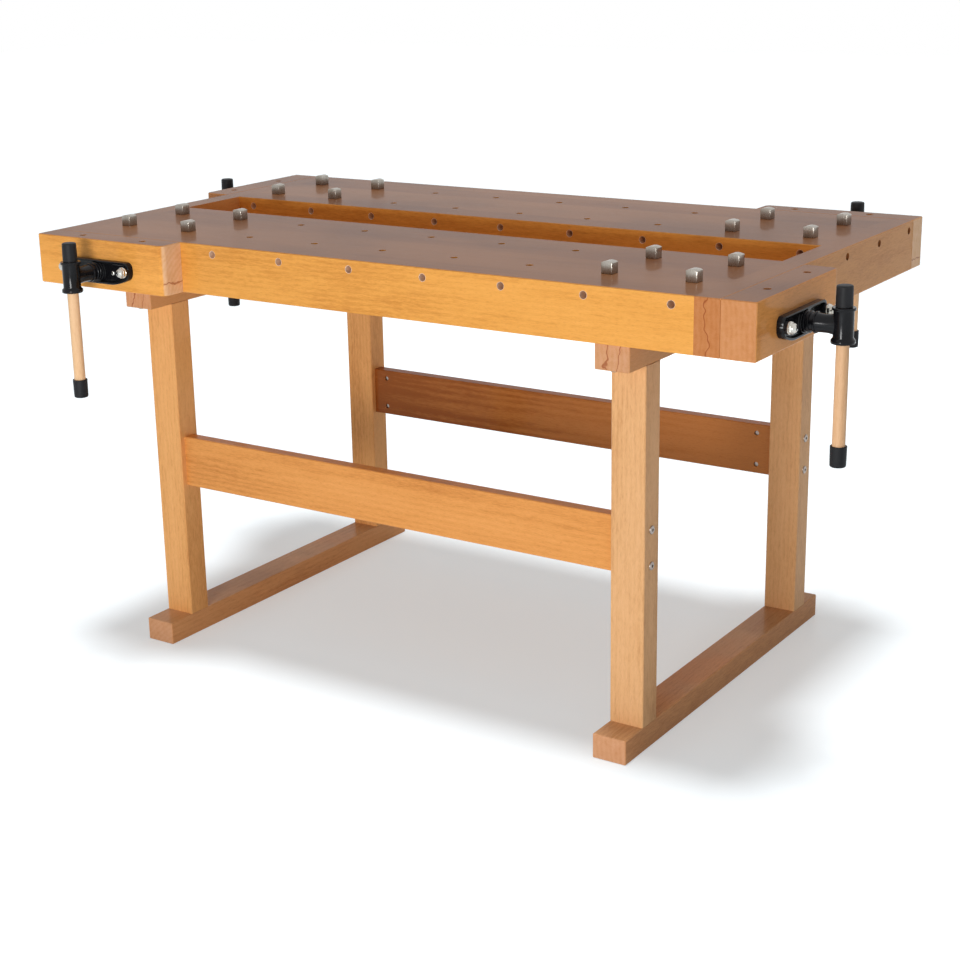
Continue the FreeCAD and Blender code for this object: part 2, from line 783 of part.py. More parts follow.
def plate(vise):
    """Front casting: a bar with drafted sides, sunk face, a boss for each rod and the spindle."""
    name, kind = vise[:2]
    body = new_body("plate_" + name)
    seat = outward(kind, "0")
    outline = [
        ("-plate_length / 2", "plate_top - plate_end_height"),
        ("-plate_flat / 2", "-plate_bottom"),
        ("plate_flat / 2", "-plate_bottom"),
        ("plate_length / 2", "plate_top - plate_end_height"),
        ("plate_length / 2", "plate_top"),
        ("-plate_length / 2", "plate_top"),
    ]
    profile = new_sketch(body, "Outline_" + name, "XZ_Plane", seat)
    add_outline(profile, outline)
    pad(body, profile, "plate_thickness", draft="plate_draft")
    corner = dim("plate_length / 4 + plate_flat / 4")
    depth = dim("plate_thickness / 2")
    dress(body, "Fillet", "plate_corner",
          lambda edge, at: abs(at.x) > corner and edge.BoundBox.YLength > depth)
    sunk = new_sketch(body, "Floor_" + name, "XZ_Plane", outward(kind, "plate_thickness"))
    inset = "plate_rim + plate_thickness * tan(plate_draft)"
    low = "plate_top - plate_end_height + (" + inset + ") * 0.8"
    add_outline(sunk, [
        ("-plate_length / 2 + " + inset, low),
        ("-plate_flat / 2", "-plate_bottom + " + inset),
        ("plate_flat / 2", "-plate_bottom + " + inset),
        ("plate_length / 2 - (" + inset + ")", low),
        ("plate_length / 2 - (" + inset + ")", "plate_top - (" + inset + ")"),
        ("-plate_length / 2 + " + inset, "plate_top - (" + inset + ")"),
    ])
    pocket(body, sunk, "plate_thickness - plate_floor")
    bosses = new_sketch(body, "Rod_bosses_" + name, "XZ_Plane", seat)
    for sign in ("-", "+"):
        add_round(bosses, (sign + "rod_spread / 2", "rod_rise"), "rod_boss_radius - plate_rim / 2")
    pad(body, bosses, "rod_boss_height")
    boss = new_sketch(body, "Spindle_boss_" + name, "XZ_Plane", seat)
    add_round(boss, ("0", "0"), "spindle_boss_radius")
    pad(body, boss, "spindle_boss_height")
    bores = new_sketch(body, "Bores_" + name, "XZ_Plane", seat)
    add_round(bores, ("0", "0"), "spindle_radius + running_play")
    for sign in ("-", "+"):
        add_round(bores, (sign + "rod_spread / 2", "rod_rise"), "rod_radius + running_play")
    pocket(body, bores, "rod_boss_height + 1", reverse=True)
    return set_vise(body, vise)


def guide_rods(vise):
    """Two rods fixed in the plate's bosses, each with a washer and a domed cap nut."""
    name, kind = vise[:2]
    body = new_body("guide_rods_" + name)
    seat = "-(" + outward(kind, "rod_boss_height") + ")"
    under_nut = seat + " - washer_thickness"
    nut_top = under_nut + " - cap_nut_height"
    high = "rod_rise"
    profile = new_sketch(body, "Rod_" + name, "YZ_Plane", "-rod_spread / 2")
    inner_end = "rod_reach - jaw_gap - %s_jaw_thickness" % kind
    dome = "cap_nut_flats / 2"
    add_axis(profile, (inner_end, high), (nut_top + " - cap_nut_dome", high))
    add_outline(profile, [
        (inner_end, high),
        (inner_end, high + " + rod_radius - 1"),
        (inner_end + " - 1", high + " + rod_radius"),
        (seat, high + " + rod_radius"),
        (seat, high + " + washer_radius"),
        (under_nut, high + " + washer_radius"),
        (under_nut, high + " + " + dome),
        (nut_top, high + " + " + dome),
        (nut_top + " - cap_nut_dome * 0.55", high + " + " + dome + " * 0.87"),
        (nut_top + " - cap_nut_dome * 0.9", high + " + " + dome + " * 0.5"),
        (nut_top + " - cap_nut_dome", high),
    ])
    rod = turn(body, profile, "Axis0")
    pattern(body, rod, ("X_Axis", "rod_spread", "2"))
    hexes = new_sketch(body, "Nuts_" + name, "XZ_Plane", outward(
        kind, "rod_boss_height + washer_thickness"))
    for sign in ("-", "+"):
        add_outline(hexes, [
            (sign + "rod_spread / 2 + cap_nut_flats / sqrt(3) * %.6f" % math.cos(math.radians(a)),
             "rod_rise + cap_nut_flats / sqrt(3) * %.6f" % math.sin(math.radians(a)))
            for a in range(0, 360, 60)])
    pad(body, hexes, "cap_nut_height")
    return set_vise(body, vise)


def screw(vise):
    """Spindle with its thrust collar and rings, and the T-shaped head that carries the handle."""
    name, kind = vise[:2]
    body = new_body("screw_" + name)
    inner_end = "rod_reach - jaw_gap - %s_jaw_thickness" % kind
    profile = new_sketch(body, "Spindle_" + name, "YZ_Plane")
    collar_out = "-(collar_recess)"
    corners = [
        (inner_end, "0"),
        (inner_end, "spindle_radius - spindle_chamfer"),
        (inner_end + " - spindle_chamfer", "spindle_radius"),
        (collar_out + " + collar_length", "spindle_radius"),
        (collar_out + " + collar_length", "collar_radius"),
        (collar_out, "collar_radius"),
        (collar_out, "spindle_radius"),
    ]
    for ring in ("ring_first", "ring_second", "ring_third"):
        near_side = "-(" + outward(kind, ring) + ")"
        far_side = near_side + " - ring_length"
        corners[-1:] = [corners[-1], (near_side, corners[-1][1])]
        corners += [(near_side, "ring_radius"), (far_side, "ring_radius"),
                    (far_side, "ring_neck_radius")]
    corners[-1] = (far_side, "0")
    add_outline(profile, corners)
    turn(body, profile, "H_Axis")
    # arm: from a round inside the last ring to an upright oval inside the hub
    start = new_sketch(body, "Arm_start_" + name, "XZ_Plane", outward(kind, "ring_third + 1"))
    add_round(start, ("0", "0"), "arm_radius")
    oval = new_sketch(body, "Arm_end_" + name, "XZ_Plane", outward(kind, "head_reach - 6"))
    add_oval(oval, "arm_end_width", "arm_end_height")
    arm = body.newObject("PartDesign::AdditiveLoft", "Arm_" + name)
    arm.Profile = start
    arm.Sections = [(oval, [""])]
    doc.recompute()
    # hub: upright barrel with a ring on top and a flared foot
    axis = "-(" + outward(kind, "head_reach") + ")"
    high = "hub_height / 2"
    hub = new_sketch(body, "Hub_" + name, "YZ_Plane")
    add_axis(hub, (axis, "-hub_height / 2"), (axis, high))
    foot = "-hub_height / 2 + hub_foot_height"
    add_outline(hub, [
        (axis, "-hub_height / 2"),
        (axis + " + hub_ring_radius - 1", "-hub_height / 2"),
        (axis + " + hub_ring_radius", "-hub_height / 2 + 1.5"),
        (axis + " + hub_ring_radius", foot + " - 1.5"),
        (axis + " + hub_radius", foot + " + 3"),
        (axis + " + hub_radius", high + " - hub_ring_height"),
        (axis + " + hub_ring_radius - 0.5", high + " - hub_ring_height"),
        (axis + " + hub_ring_radius - 0.5", high + " - 1"),
        (axis + " + hub_ring_radius - 1.5", high),
        (axis, high),
    ])
    turn(body, hub, "Axis0")
    bore = new_sketch(body, "Handle_bore_" + name, "XY_Plane", "-hub_height / 2 - 1")
    add_round(bore, ("0", axis), "handle_radius + handle_play")
    pocket(body, bore, "hub_height + 2", reverse=True)
    pin = new_sketch(body, "Pin_hole_" + name, "YZ_Plane", "-arm_radius - 1")
    add_round(pin, ("-(" + outward(kind, "ring_third + ring_length + 4") + ")", "0"),
              "pin_hole_radius")
    pocket(body, pin, "7", reverse=True)
    return set_vise(body, vise)


def set_handle(thing, vise):
    """The handle hangs by its upper cap on the hub's top ring."""
    return set_vise(thing, vise, outward(vise[1], "head_reach"),
                    "hub_height / 2 + handle_play + cap_length - handle_length / 2")


def handle(vise):
    name = vise[0]
    body = new_body("handle_" + name)
    profile = new_sketch(body, "Bar_" + name, "XY_Plane")
    add_round(profile, ("0", "0"), "handle_radius")
    pad(body, profile, "handle_length - 2 * cap_wall", both=True)
    return set_handle(body, vise)


def handle_caps(vise):
    name = vise[0]
    body = new_body("handle_caps_" + name)
    profile = new_sketch(body, "Cap_" + name, "XZ_Plane")
    top = "handle_length / 2"
    add_outline(profile, [
        ("0", top),
        ("0", top + " - cap_wall"),
        ("handle_radius", top + " - cap_wall"),
        ("handle_radius", top + " - cap_length"),
        ("cap_radius", top + " - cap_length"),
        ("cap_radius - 0.4", top),
    ])
    cap = turn(body, profile, "V_Axis")
    mirror = body.newObject("PartDesign::Mirrored", "Pair_" + name)
    mirror.Originals = [cap]
    mirror.MirrorPlane = (datum(body, "XY_Plane"), [""])
    body.Tip = mirror
    doc.recompute()
    end = dim(top)
    bar = dim("handle_radius")
    dress(body, "Fillet", "cap_round",
          lambda edge, at: near(abs(at.z), end) and math.hypot(at.x, at.y) > bar)
    return set_handle(body, vise)


for station in VISES:
    jaw(station)
    plate(station)
    guide_rods(station)
    screw(station)
    handle(station)
    handle_caps(station)

# Guide casting under the planks: a flat plate against the wood, a sleeve round each rod, the nut's
# housing round the spindle and a web across.
casting = new_body("guide_casting")
profile = new_sketch(casting, "Guide_plate", "XY_Plane", "guide_drop - guide_plate")
add_outline(profile, box_corners("-guide_width / 2", "guide_width / 2",
                                 "guide_inset", "guide_inset + guide_length"))
pad(casting, profile, "guide_plate")
dress(casting, "Fillet", "guide_web", lambda edge, at: along(edge, "z"))
profile = new_sketch(casting, "Sleeves", "XZ_Plane", "-guide_inset")
for sign in ("-", "+"):
    add_round(profile, (sign + "rod_spread / 2", "rod_rise"), "guide_boss_radius")
pad(casting, profile, "guide_length", reverse=True)
profile = new_sketch(casting, "Nut_housing", "XZ_Plane",
                     "-guide_inset - guide_length / 2 + guide_nut_length / 2")
add_round(profile, ("0", "0"), "guide_nut_radius")
pad(casting, profile, "guide_nut_length", reverse=True)
profile = new_sketch(casting, "Web", "XZ_Plane", "-guide_inset - guide_length / 2 + guide_web / 2")
add_outline(profile, box_corners("-rod_spread / 2", "rod_spread / 2",
                                 "-guide_web_drop", "guide_drop - guide_plate / 2"))
pad(casting, profile, "guide_web", reverse=True)
bores = new_sketch(casting, "Guide_bores", "XZ_Plane", "-guide_inset + 1")
add_round(bores, ("0", "0"), "spindle_radius + running_play")
for sign in ("-", "+"):
    add_round(bores, (sign + "rod_spread / 2", "rod_rise"), "rod_radius + running_play")
pocket(casting, bores, "guide_length + 2")

guide_places = []
for station in VISES:
    x, y = vise_spot(station, "0")
    turned = FreeCAD.Rotation(V(0, 0, 1), 90 * FACING.index(station[2]))
    guide_places.append(FreeCAD.Placement(V(dim(x), dim(y), dim("spindle_height")), turned))
group("vise_guide_blocks", casting, guide_places)


# ---------------------------------------------------------------- bench dogs

def dog(name, column, row):
    """Square head with an arched top over a round shank, standing in the top's hole."""
    body = new_body(name)
    head = new_sketch(body, "Head_" + name, "XZ_Plane")
    half = "dog_head_width / 2"
    spots = [("-" + half, "dog_head_height"), ("-" + half, "0"), (half, "0"),
             (half, "dog_head_height")]
    for i in range(3):
        first = V(dim(spots[i][0]), dim(spots[i][1]), 0)
        second = V(dim(spots[i + 1][0]), dim(spots[i + 1][1]), 0)
        head.addGeometry(Part.LineSegment(first, second), False)
    crown = Part.Arc(V(dim(half), dim("dog_head_height"), 0),
                     V(0, dim("dog_head_height + dog_crown"), 0),
                     V(-dim(half), dim("dog_head_height"), 0))
    head.addGeometry(crown, False)
    for i in range(3):
        head.addConstraint(Sketcher.Constraint("Coincident", i, 2, (i + 1) % 4, 1))
        pin_point(head, i, 1, spots[i])
    pin_point(head, 2, 2, spots[3])
    head.addConstraint(Sketcher.Constraint("Coincident", 3, 2, 0, 1))
    held = head.addConstraint(Sketcher.Constraint("Radius", 3, crown.toShape().Curve.Radius))
    tie(head, "Constraints[%d]" % held,
        "(dog_head_width * dog_head_width / 4 + dog_crown * dog_crown) / (2 * dog_crown)")
    pad(body, head, "dog_head_width", both=True)
    dress(body, "Chamfer", "dog_edge", lambda edge, at: along(edge, "z")
          or near(abs(at.y), dim(half)) and at.z > dim("dog_head_height") - 1)
    shank = new_sketch(body, "Shank_" + name, "XY_Plane")
    add_round(shank, ("0", "0"), "dog_shank_radius")
    pad(body, shank, "dog_shank_length", reverse=True)
    place(body, x=column, y=row, z="bench_height")
    return keep(body)


for end_name, end_sign in (("front", "-"), ("back", "+")):
    for side_name, side_sign in (("left", "-"), ("right", "+")):
        for ring in ("outer", "inner"):
            for spot, column in (("end", "outer_column"), ("mid", "inner_column")):
                dog("dog_%s_%s_%s_%s" % (end_name, side_name, ring, spot),
                    side_sign + column, end_sign + ring + "_row")


# ---------------------------------------------------------------- checks and export

doc.recompute()
for thing in doc.Objects:
    if "Invalid" in thing.State or "Error" in thing.State:
        raise RuntimeError("%s failed: %s" % (thing.Name, thing.State))
os.makedirs("parts", exist_ok=True)
for thing in NODES:
    if thing.Shape.isNull() or not thing.Shape.isValid():
        raise RuntimeError("%s has no valid shape" % thing.Label)
    if not thing.Shape.Solids:
        raise RuntimeError("%s has no solid" % thing.Label)
for thing in NODES:
    thing.Shape.exportStep("parts/%s.step" % thing.Label)
print("%d nodes written" % len(NODES))
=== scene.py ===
import json
import math

import bpy
from mathutils import Matrix, Vector

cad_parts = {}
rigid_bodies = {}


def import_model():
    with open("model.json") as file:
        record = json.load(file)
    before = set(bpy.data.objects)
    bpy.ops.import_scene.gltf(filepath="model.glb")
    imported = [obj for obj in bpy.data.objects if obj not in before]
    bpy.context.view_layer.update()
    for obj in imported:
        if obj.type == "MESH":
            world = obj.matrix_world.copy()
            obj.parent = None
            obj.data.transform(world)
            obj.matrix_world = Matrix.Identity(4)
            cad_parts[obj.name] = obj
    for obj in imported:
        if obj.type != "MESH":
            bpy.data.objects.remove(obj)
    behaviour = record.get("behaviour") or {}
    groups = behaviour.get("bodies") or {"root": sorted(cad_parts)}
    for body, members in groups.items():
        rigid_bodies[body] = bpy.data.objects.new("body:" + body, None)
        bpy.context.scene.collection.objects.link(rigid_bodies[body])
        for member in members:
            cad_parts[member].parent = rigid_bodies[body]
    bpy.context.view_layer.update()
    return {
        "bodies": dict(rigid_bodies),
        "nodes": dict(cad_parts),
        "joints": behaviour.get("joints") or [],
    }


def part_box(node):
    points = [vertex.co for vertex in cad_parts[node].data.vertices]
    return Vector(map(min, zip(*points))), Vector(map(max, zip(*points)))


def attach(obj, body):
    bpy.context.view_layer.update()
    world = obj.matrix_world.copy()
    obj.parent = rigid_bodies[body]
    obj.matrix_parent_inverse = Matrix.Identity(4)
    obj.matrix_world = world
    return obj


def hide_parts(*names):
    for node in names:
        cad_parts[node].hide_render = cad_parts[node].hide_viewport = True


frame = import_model()

bl_info = {
    "name": "Woodworking Bench",
    "version": (1, 0, 0),
    "blender": (4, 5, 0),
    "location": "View3D > Sidebar > Bench",
    "description": "Finishes a beech woodworking bench with four vises, its dogs and its studio",
    "category": "Object",
}

# The bench stands on z = 0, +X along it and +Y to the back. Vise pieces are shaped about the point
# where the spindle's axis leaves the jaw's front, opening to -Y, and are then put at their station.

MM = 0.001
JOINTS = {joint["name"]: joint for joint in frame["joints"]}
STATIONS = ("front_left", "right_front", "back_right", "left_back")
SIDES = (-1, 1)

# turns that lay an upright piece along -Y, out of the jaw, and along X
OUTWARD = (math.pi / 2, 0, 0)
SIDEWAYS = (0, math.pi / 2, 0)

# what the panel's settings leave open, in millimetres
WELD = 0.01  # points closer than this are one
RUNNING_GAP = 0.4  # round the spindle and the bar
PLATE_HEIGHT = 46
PLATE_MIDDLE = -1  # over the spindle's axis
PLATE_CUT = (50, -24)  # where the slope of the lower corners passes
PLATE_SLOPE = (13, -38)  # and which way that cut faces
PLATE_END_ROUND = 12
PLATE_FOOT_ROUND = 14
BOSS_REACH = 18  # in front of the jaw, where the washers sit
NUT_RADIUS = 10.39
THREAD_DEPTH = 2.2
ARM_START = 31
ARM_RADIUS = 17.0
HUB_BITE = 6  # the arm ends this far from the bar's axis
CAP_WALL = 4
DOG_ROUND = 0.7
RAIL_BOLT_RISE = 33.5
BEARER_BOLT_INSET = 11.5
PLATE_SCREWS = ((-43, -8, PLATE_MIDDLE), (43, -8, PLATE_MIDDLE))
# from the jaw's joint to the lower face of its guide casting
GUIDE_SCREWS = [(x, y, 14) for x, y in
                ((-94, 134), (-94, 234), (-40, 234), (40, 234), (94, 134), (94, 234))]

# the plates' front, step by step: how far it is drawn in and how far it goes out
PLATE_ROUNDING = ((0.2, 0.6), (0.5, 0.5), (0.7, 0.3))
PLATE_SINKING = ((2.6, 0), (0.4, -0.2), (0.4, -0.6), (0.6, -3.4), (0.5, -0.6), (1.0, -0.3))

# the looks' fixed values, in metres where they are lengths
BARE_WOOD = (0.86, 0.60, 0.43)
STAVE = 0.075
SEAM = 0.0004
WHITE = (1, 1, 1, 1)
FLOOR_TONE = (0.567, 0.620, 0.652, 1)
FLOOR_GLOW = 0.35
SUN_SPREAD = math.radians(12)
BOX_WATTS = 50
BOX_SIZE = 0.9
LENS_SHIFT = (0.043125, -0.02125)
NODE_STEP = 190


# ---------------------------------------------------------------- settings

def length(name, description, millimetres):
    return bpy.props.FloatProperty(name=name, description=description, default=millimetres * MM,
                                   min=0.0, unit="LENGTH", precision=4)


def colour(name, description, value):
    return bpy.props.FloatVectorProperty(name=name, description=description, default=value,
                                         size=3, min=0.0, max=1.0, subtype="COLOR")


def share(name, description, value):
    return bpy.props.FloatProperty(name=name, description=description, default=value,
                                   min=0.0, max=4.0, subtype="FACTOR")


class TimberLook(bpy.types.PropertyGroup):
    """Colours and varnish of the beech"""
    # painted shade: the top's faces that point up are coloured darker, standing in for the weaker
    # light from above
    lying: colour("Upper faces", "Darker varnish on the top's upper faces", (0.142, 0.052, 0.015))
    frame: colour("Frame", "Planks and aprons", (0.745, 0.330, 0.067))
    jaw: colour("Jaws", "Vise jaws", (0.83, 0.37, 0.080))
    board: colour("End boards", "Boards across the ends of the top", (0.65, 0.295, 0.10))
    leg: colour("Legs", "Uprights", (0.77, 0.37, 0.125))
    foot: colour("Feet", "Feet on the floor", (0.67, 0.31, 0.120))
    bearer: colour("Bearers", "Cross timbers under the top", (0.60, 0.27, 0.09))
    rail: colour("Front rail", "Long rail in front", (0.72, 0.30, 0.078))
    # painted shade: the same beech as the front rail, coloured darker for the shade of the front
    # rail and the top
    rail_back: colour("Back rail", "Long rail at the back", (0.44, 0.155, 0.036))
    well: colour("Well", "Bottom of the tool well", (0.38, 0.18, 0.065))
    bar: colour("Bars", "Bare beech of the vise bars", (0.78, 0.50, 0.29))
    hole_pitch: length("Hole pitch", "Distance between the side holes along the bench", 163)
    hole_drop: length("Hole drop", "Depth of those holes' axis below the top", 18)
    hole_radius: length("Hole radius", "Radius of the bare wood in a hole", 7.5)
    streaks: share("Streaks", "How strongly the fibres show", 1.0)
    varnish: share("Varnish", "Weight of the clear coat on the top", 0.22)


class MetalLook(bpy.types.PropertyGroup):
    """Colours of castings, screws and dogs"""
    casting: colour("Castings", "Gloss black paint", (0.004, 0.004, 0.005))
    guide: colour("Guides", "Black iron under the top", (0.025, 0.025, 0.028))
    bright: colour("Bright steel", "Rods, nuts and small screws", (0.60, 0.58, 0.54))
    zinc: colour("Zinc", "Frame bolts", (0.36, 0.31, 0.28))
    nickel: colour("Dogs", "Satin nickel", (0.40, 0.37, 0.33))
    plastic: colour("Caps", "Black plastic of the bars' caps", (0.009, 0.009, 0.010))


class ViseShape(bpy.types.PropertyGroup):
    """Sizes of the vise's metal"""
    rod_spread: length("Rod spread", "Distance between the two rods", 156)
    rod_rise: length("Rod rise", "Height of the rods over the spindle", 4.5)
    rod_radius: length("Rod radius", "Radius of a guide rod", 9)
    rod_reach: length("Rod reach", "Rod behind the jaw's front", 410)
    plate_length: length("Plate length", "Front casting from end to end", 176)
    plate_depth: length("Plate depth", "Thickness of the front casting", 13)
    head_reach: length("Head reach", "Handle's axis in front of the jaw", 78)
    spindle_radius: length("Spindle radius", "Outside of the thread", 11)
    lead: length("Lead", "Travel of one turn of the spindle", 6)
    bar_radius: length("Bar radius", "Radius of the sliding bar", 11)
    cap_radius: length("Cap radius", "Radius of a bar's cap", 14.25)
    cap_length: length("Cap length", "Length of a bar's cap", 36)


class DogShape(bpy.types.PropertyGroup):
    """Sizes of a bench dog"""
    width: length("Width", "Side of the square head", 21.5)
    height: length("Height", "Height of the head's sides", 19.5)
    crown: length("Crown", "Rise of the arched top", 2.5)
    shank_radius: length("Shank radius", "Radius of the shank", 6.9)
    shank_length: length("Shank length", "Length of the shank", 42)


class StudioSetup(bpy.types.PropertyGroup):
    """Camera and light"""
    place: bpy.props.FloatVectorProperty(
        name="Place", description="Camera's place", default=(1.96537, -2.98285, 1.44829),
        size=3, subtype="TRANSLATION", unit="LENGTH", precision=5)
    heading: bpy.props.FloatProperty(name="Heading", description="Turn to the left of +Y",
                                     default=0.607277, subtype="ANGLE", unit="ROTATION")
    tilt: bpy.props.FloatProperty(name="Tilt", description="Look below the horizon",
                                  default=0.292337, subtype="ANGLE", unit="ROTATION")
    roll: bpy.props.FloatProperty(name="Roll", description="Turn about the line of sight",
                                  default=-0.024734, subtype="ANGLE", unit="ROTATION")
    lens: bpy.props.FloatProperty(name="Lens", description="Focal length in millimetres",
                                  default=67.548, min=1.0)
    overhead: share("Overhead", "Strength of the light from above", 2.75)
    front: share("Front", "Strength of the soft box in front, in units of 50 W", 1.12)
    behind: share("Behind", "Strength of the soft box behind, in units of 50 W", 0.5)
    around: share("Around", "Strength of the light from all round", 0.30)


# ---------------------------------------------------------------- shaping

def let_go():
    """Object mode with nothing selected."""
    if bpy.context.object and bpy.context.object.mode != "OBJECT":
        bpy.ops.object.mode_set(mode="OBJECT")
    bpy.ops.object.select_all(action="DESELECT")


def hold(piece):
    """Make the piece the active object and the only selected one."""
    let_go()
    piece.select_set(True)
    bpy.context.view_layer.objects.active = piece


def settle(piece):
    """Move the object's place, turn and size into its mesh."""
    hold(piece)
    bpy.ops.object.transform_apply(location=True, rotation=True, scale=True)
    return piece


def pick(piece, kind="FACE", test=lambda middle, way: True):
    """Edit mode with the vertices, edges or faces selected whose middle and direction pass."""
    if piece.mode != "OBJECT":
        bpy.ops.object.mode_set(mode="OBJECT")
    mesh = piece.data
    bpy.context.tool_settings.mesh_select_mode = [kind == each for each in ("VERT", "EDGE", "FACE")]
    for parts in (mesh.vertices, mesh.edges, mesh.polygons):
        parts.foreach_set("select", [False] * len(parts))
    if kind == "FACE":
        for face in mesh.polygons:
            face.select = test(face.center, face.normal)
    elif kind == "EDGE":
        for edge in mesh.edges:
            start, end = (mesh.vertices[i].co for i in edge.vertices)
            edge.select = test((start + end) / 2, (end - start).normalized())
    else:
        for vertex in mesh.vertices:
            vertex.select = test(vertex.co, vertex.normal)
    bpy.ops.object.mode_set(mode="EDIT")


def block(size, centre):
    """Cube brought to its size at its place, in millimetres."""
    let_go()
    bpy.ops.mesh.primitive_cube_add(size=MM, location=Vector(centre) * MM)
    piece = bpy.context.object
    piece.scale = size
    return settle(piece)


def rod(radius, depth, centre, sides, turn=(0, 0, 0)):
    """Cylinder in millimetres, turned from upright."""
    let_go()
    bpy.ops.mesh.primitive_cylinder_add(vertices=sides, radius=radius * MM, depth=depth * MM,
                                        location=Vector(centre) * MM, rotation=turn)
    return settle(bpy.context.object)


def drawn(profile):
    """Line of vertices through the outline's points, radius and height each, in millimetres."""
    let_go()
    bpy.context.tool_settings.mesh_select_mode = (True, False, False)
    first = Vector((profile[0][0], 0, profile[0][1])) * MM
    bpy.ops.mesh.primitive_plane_add(size=MM, location=first)
    piece = settle(bpy.context.object)
    bpy.ops.object.mode_set(mode="EDIT")
    bpy.ops.mesh.select_all(action="SELECT")
    bpy.ops.mesh.merge(type="CENTER")
    for (radius, height), (wider, higher) in zip(profile, profile[1:]):
        step = Vector((wider - radius, 0, higher - height)) * MM
        bpy.ops.mesh.extrude_vertices_move(TRANSFORM_OT_translate={"value": step})
    return piece


def turned(profile, centre=(0, 0, 0), turn=(0, 0, 0), steps=48):
    """Piece turned on a lathe: radius and height of each point of its outline, in millimetres."""
    piece = drawn(profile)
    bpy.ops.mesh.select_all(action="SELECT")
    bpy.ops.mesh.spin(steps=steps, angle=math.tau, center=(0, 0, 0), axis=(0, 0, 1))
    bpy.ops.mesh.select_all(action="SELECT")
    bpy.ops.mesh.remove_doubles(threshold=WELD * MM)
    bpy.ops.mesh.normals_make_consistent(inside=False)
    bpy.ops.object.mode_set(mode="OBJECT")
    piece.rotation_euler = turn
    piece.location = Vector(centre) * MM
    return settle(piece)


def modified(piece, kind, **settings):
    """Add a modifier to the piece, set it and apply it."""
    hold(piece)
    bpy.ops.object.modifier_add(type=kind)
    modifier = piece.modifiers[-1]
    for name, value in settings.items():
        setattr(modifier, name, value)
    bpy.ops.object.modifier_apply(modifier=modifier.name)


def eased(piece, width, segments, angle):
    """Round the edges that turn by more than the angle, over a width in millimetres."""
    modified(piece, "BEVEL", width=width * MM, segments=segments, limit_method="ANGLE",
             angle_limit=math.radians(angle), harden_normals=False)


def carved(piece, cutter):
    """The piece with the cutter's room taken out of it."""
    faces = len(piece.data.polygons)
    modified(piece, "BOOLEAN", operation="DIFFERENCE", solver="EXACT", object=cutter)
    if len(piece.data.polygons) < faces:
        raise RuntimeError("the cut spoils the piece")
    bpy.data.objects.remove(cutter)
    return piece


def joined(pieces):
    """One object of all the pieces."""
    hold(pieces[0])
    for piece in pieces:
        piece.select_set(True)
    bpy.ops.object.join()
    return bpy.context.object


def smooth(piece, angle=35):
    """Shade the piece smooth, apart from edges that turn by more than the angle."""
    hold(piece)
    bpy.ops.object.shade_smooth_by_angle(angle=math.radians(angle))
    return piece


def copy_to(piece, matrix):
    """Another such piece, with its own mesh, moved by the matrix."""
    other = piece.copy()
    other.data = piece.data.copy()
    bpy.context.scene.collection.objects.link(other)
    other.matrix_world = matrix
    return settle(other)


def hand_over(piece, name, body, material, slot, *nodes):
    """Name a finished piece, give it its material and let it ride on its body."""
    piece.name = name
    piece.data.name = name
    piece.data.materials.clear()
    piece.data.materials.append(material)
    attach(piece, body)
    if nodes:
        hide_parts(*nodes)


def vise_place(station):
    """Matrix from the vise's own frame to the bench, at the jaw's front."""
    slide = JOINTS[station + "_jaw_slide"]
    away = Vector(slide["axis"])
    low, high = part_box("jaw_" + station)
    reach = max((corner - Vector(slide["pos_m"])).dot(away) for corner in (low, high))
    turn = Matrix.Rotation(math.atan2(away.y, away.x) + math.pi / 2, 4, "Z")
    return Matrix.Translation(Vector(slide["pos_m"]) + away * reach) @ turn


def jaw_depth(station):
    """Thickness of the station's jaw along its slide, in millimetres."""
    low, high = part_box("jaw_" + station)
    away = Vector(JOINTS[station + "_jaw_slide"]["axis"])
    return abs((high - low).dot(away)) / MM


def rod_centres(shape):
    """Where the two rods' axes meet the jaw's front, in millimetres."""
    return [(side * shape.rod_spread / MM / 2, 0, shape.rod_rise / MM) for side in SIDES]


def to_each_vise(piece, name, material, slot, node):
    """Hand over a copy of the piece to each vise, and drop the piece."""
    for station in STATIONS:
        hand_over(copy_to(piece, vise_place(station)), name + station, "vise_" + station,
                  material, slot, node + station)
    bpy.data.objects.remove(piece)


# ---------------------------------------------------------------- finishes

class Nodes:
    """The shader nodes of a material or a world."""

    def __init__(self, owner):
        owner.use_nodes = True
        self.owner = owner
        self.tree = owner.node_tree
        self.tree.nodes.clear()

    def add(self, kind, sockets=(), **settings):
        """Add a node with these settings, its sockets fed by values or by other nodes' sockets."""
        node = self.tree.nodes.new("ShaderNode" + kind)
        node.location = (len(self.tree.nodes) * NODE_STEP, 0)
        for name, value in settings.items():
            setattr(node, name, value)
        for name, value in dict(sockets).items():
            if isinstance(value, bpy.types.NodeSocket):
                self.tree.links.new(value, node.inputs[name])
            else:
                node.inputs[name].default_value = value
        return node

    def maths(self, operation, *values):
        return self.add("Math", enumerate(values), operation=operation).outputs[0]

    def open_view(self):
        """1 for rays from the camera, a mirror or glass, else 0."""
        path = self.add("LightPath").outputs
        seen = self.maths("MAXIMUM", path["Is Camera Ray"], path["Is Glossy Ray"])
        return self.maths("MAXIMUM", seen, path["Is Transmission Ray"])


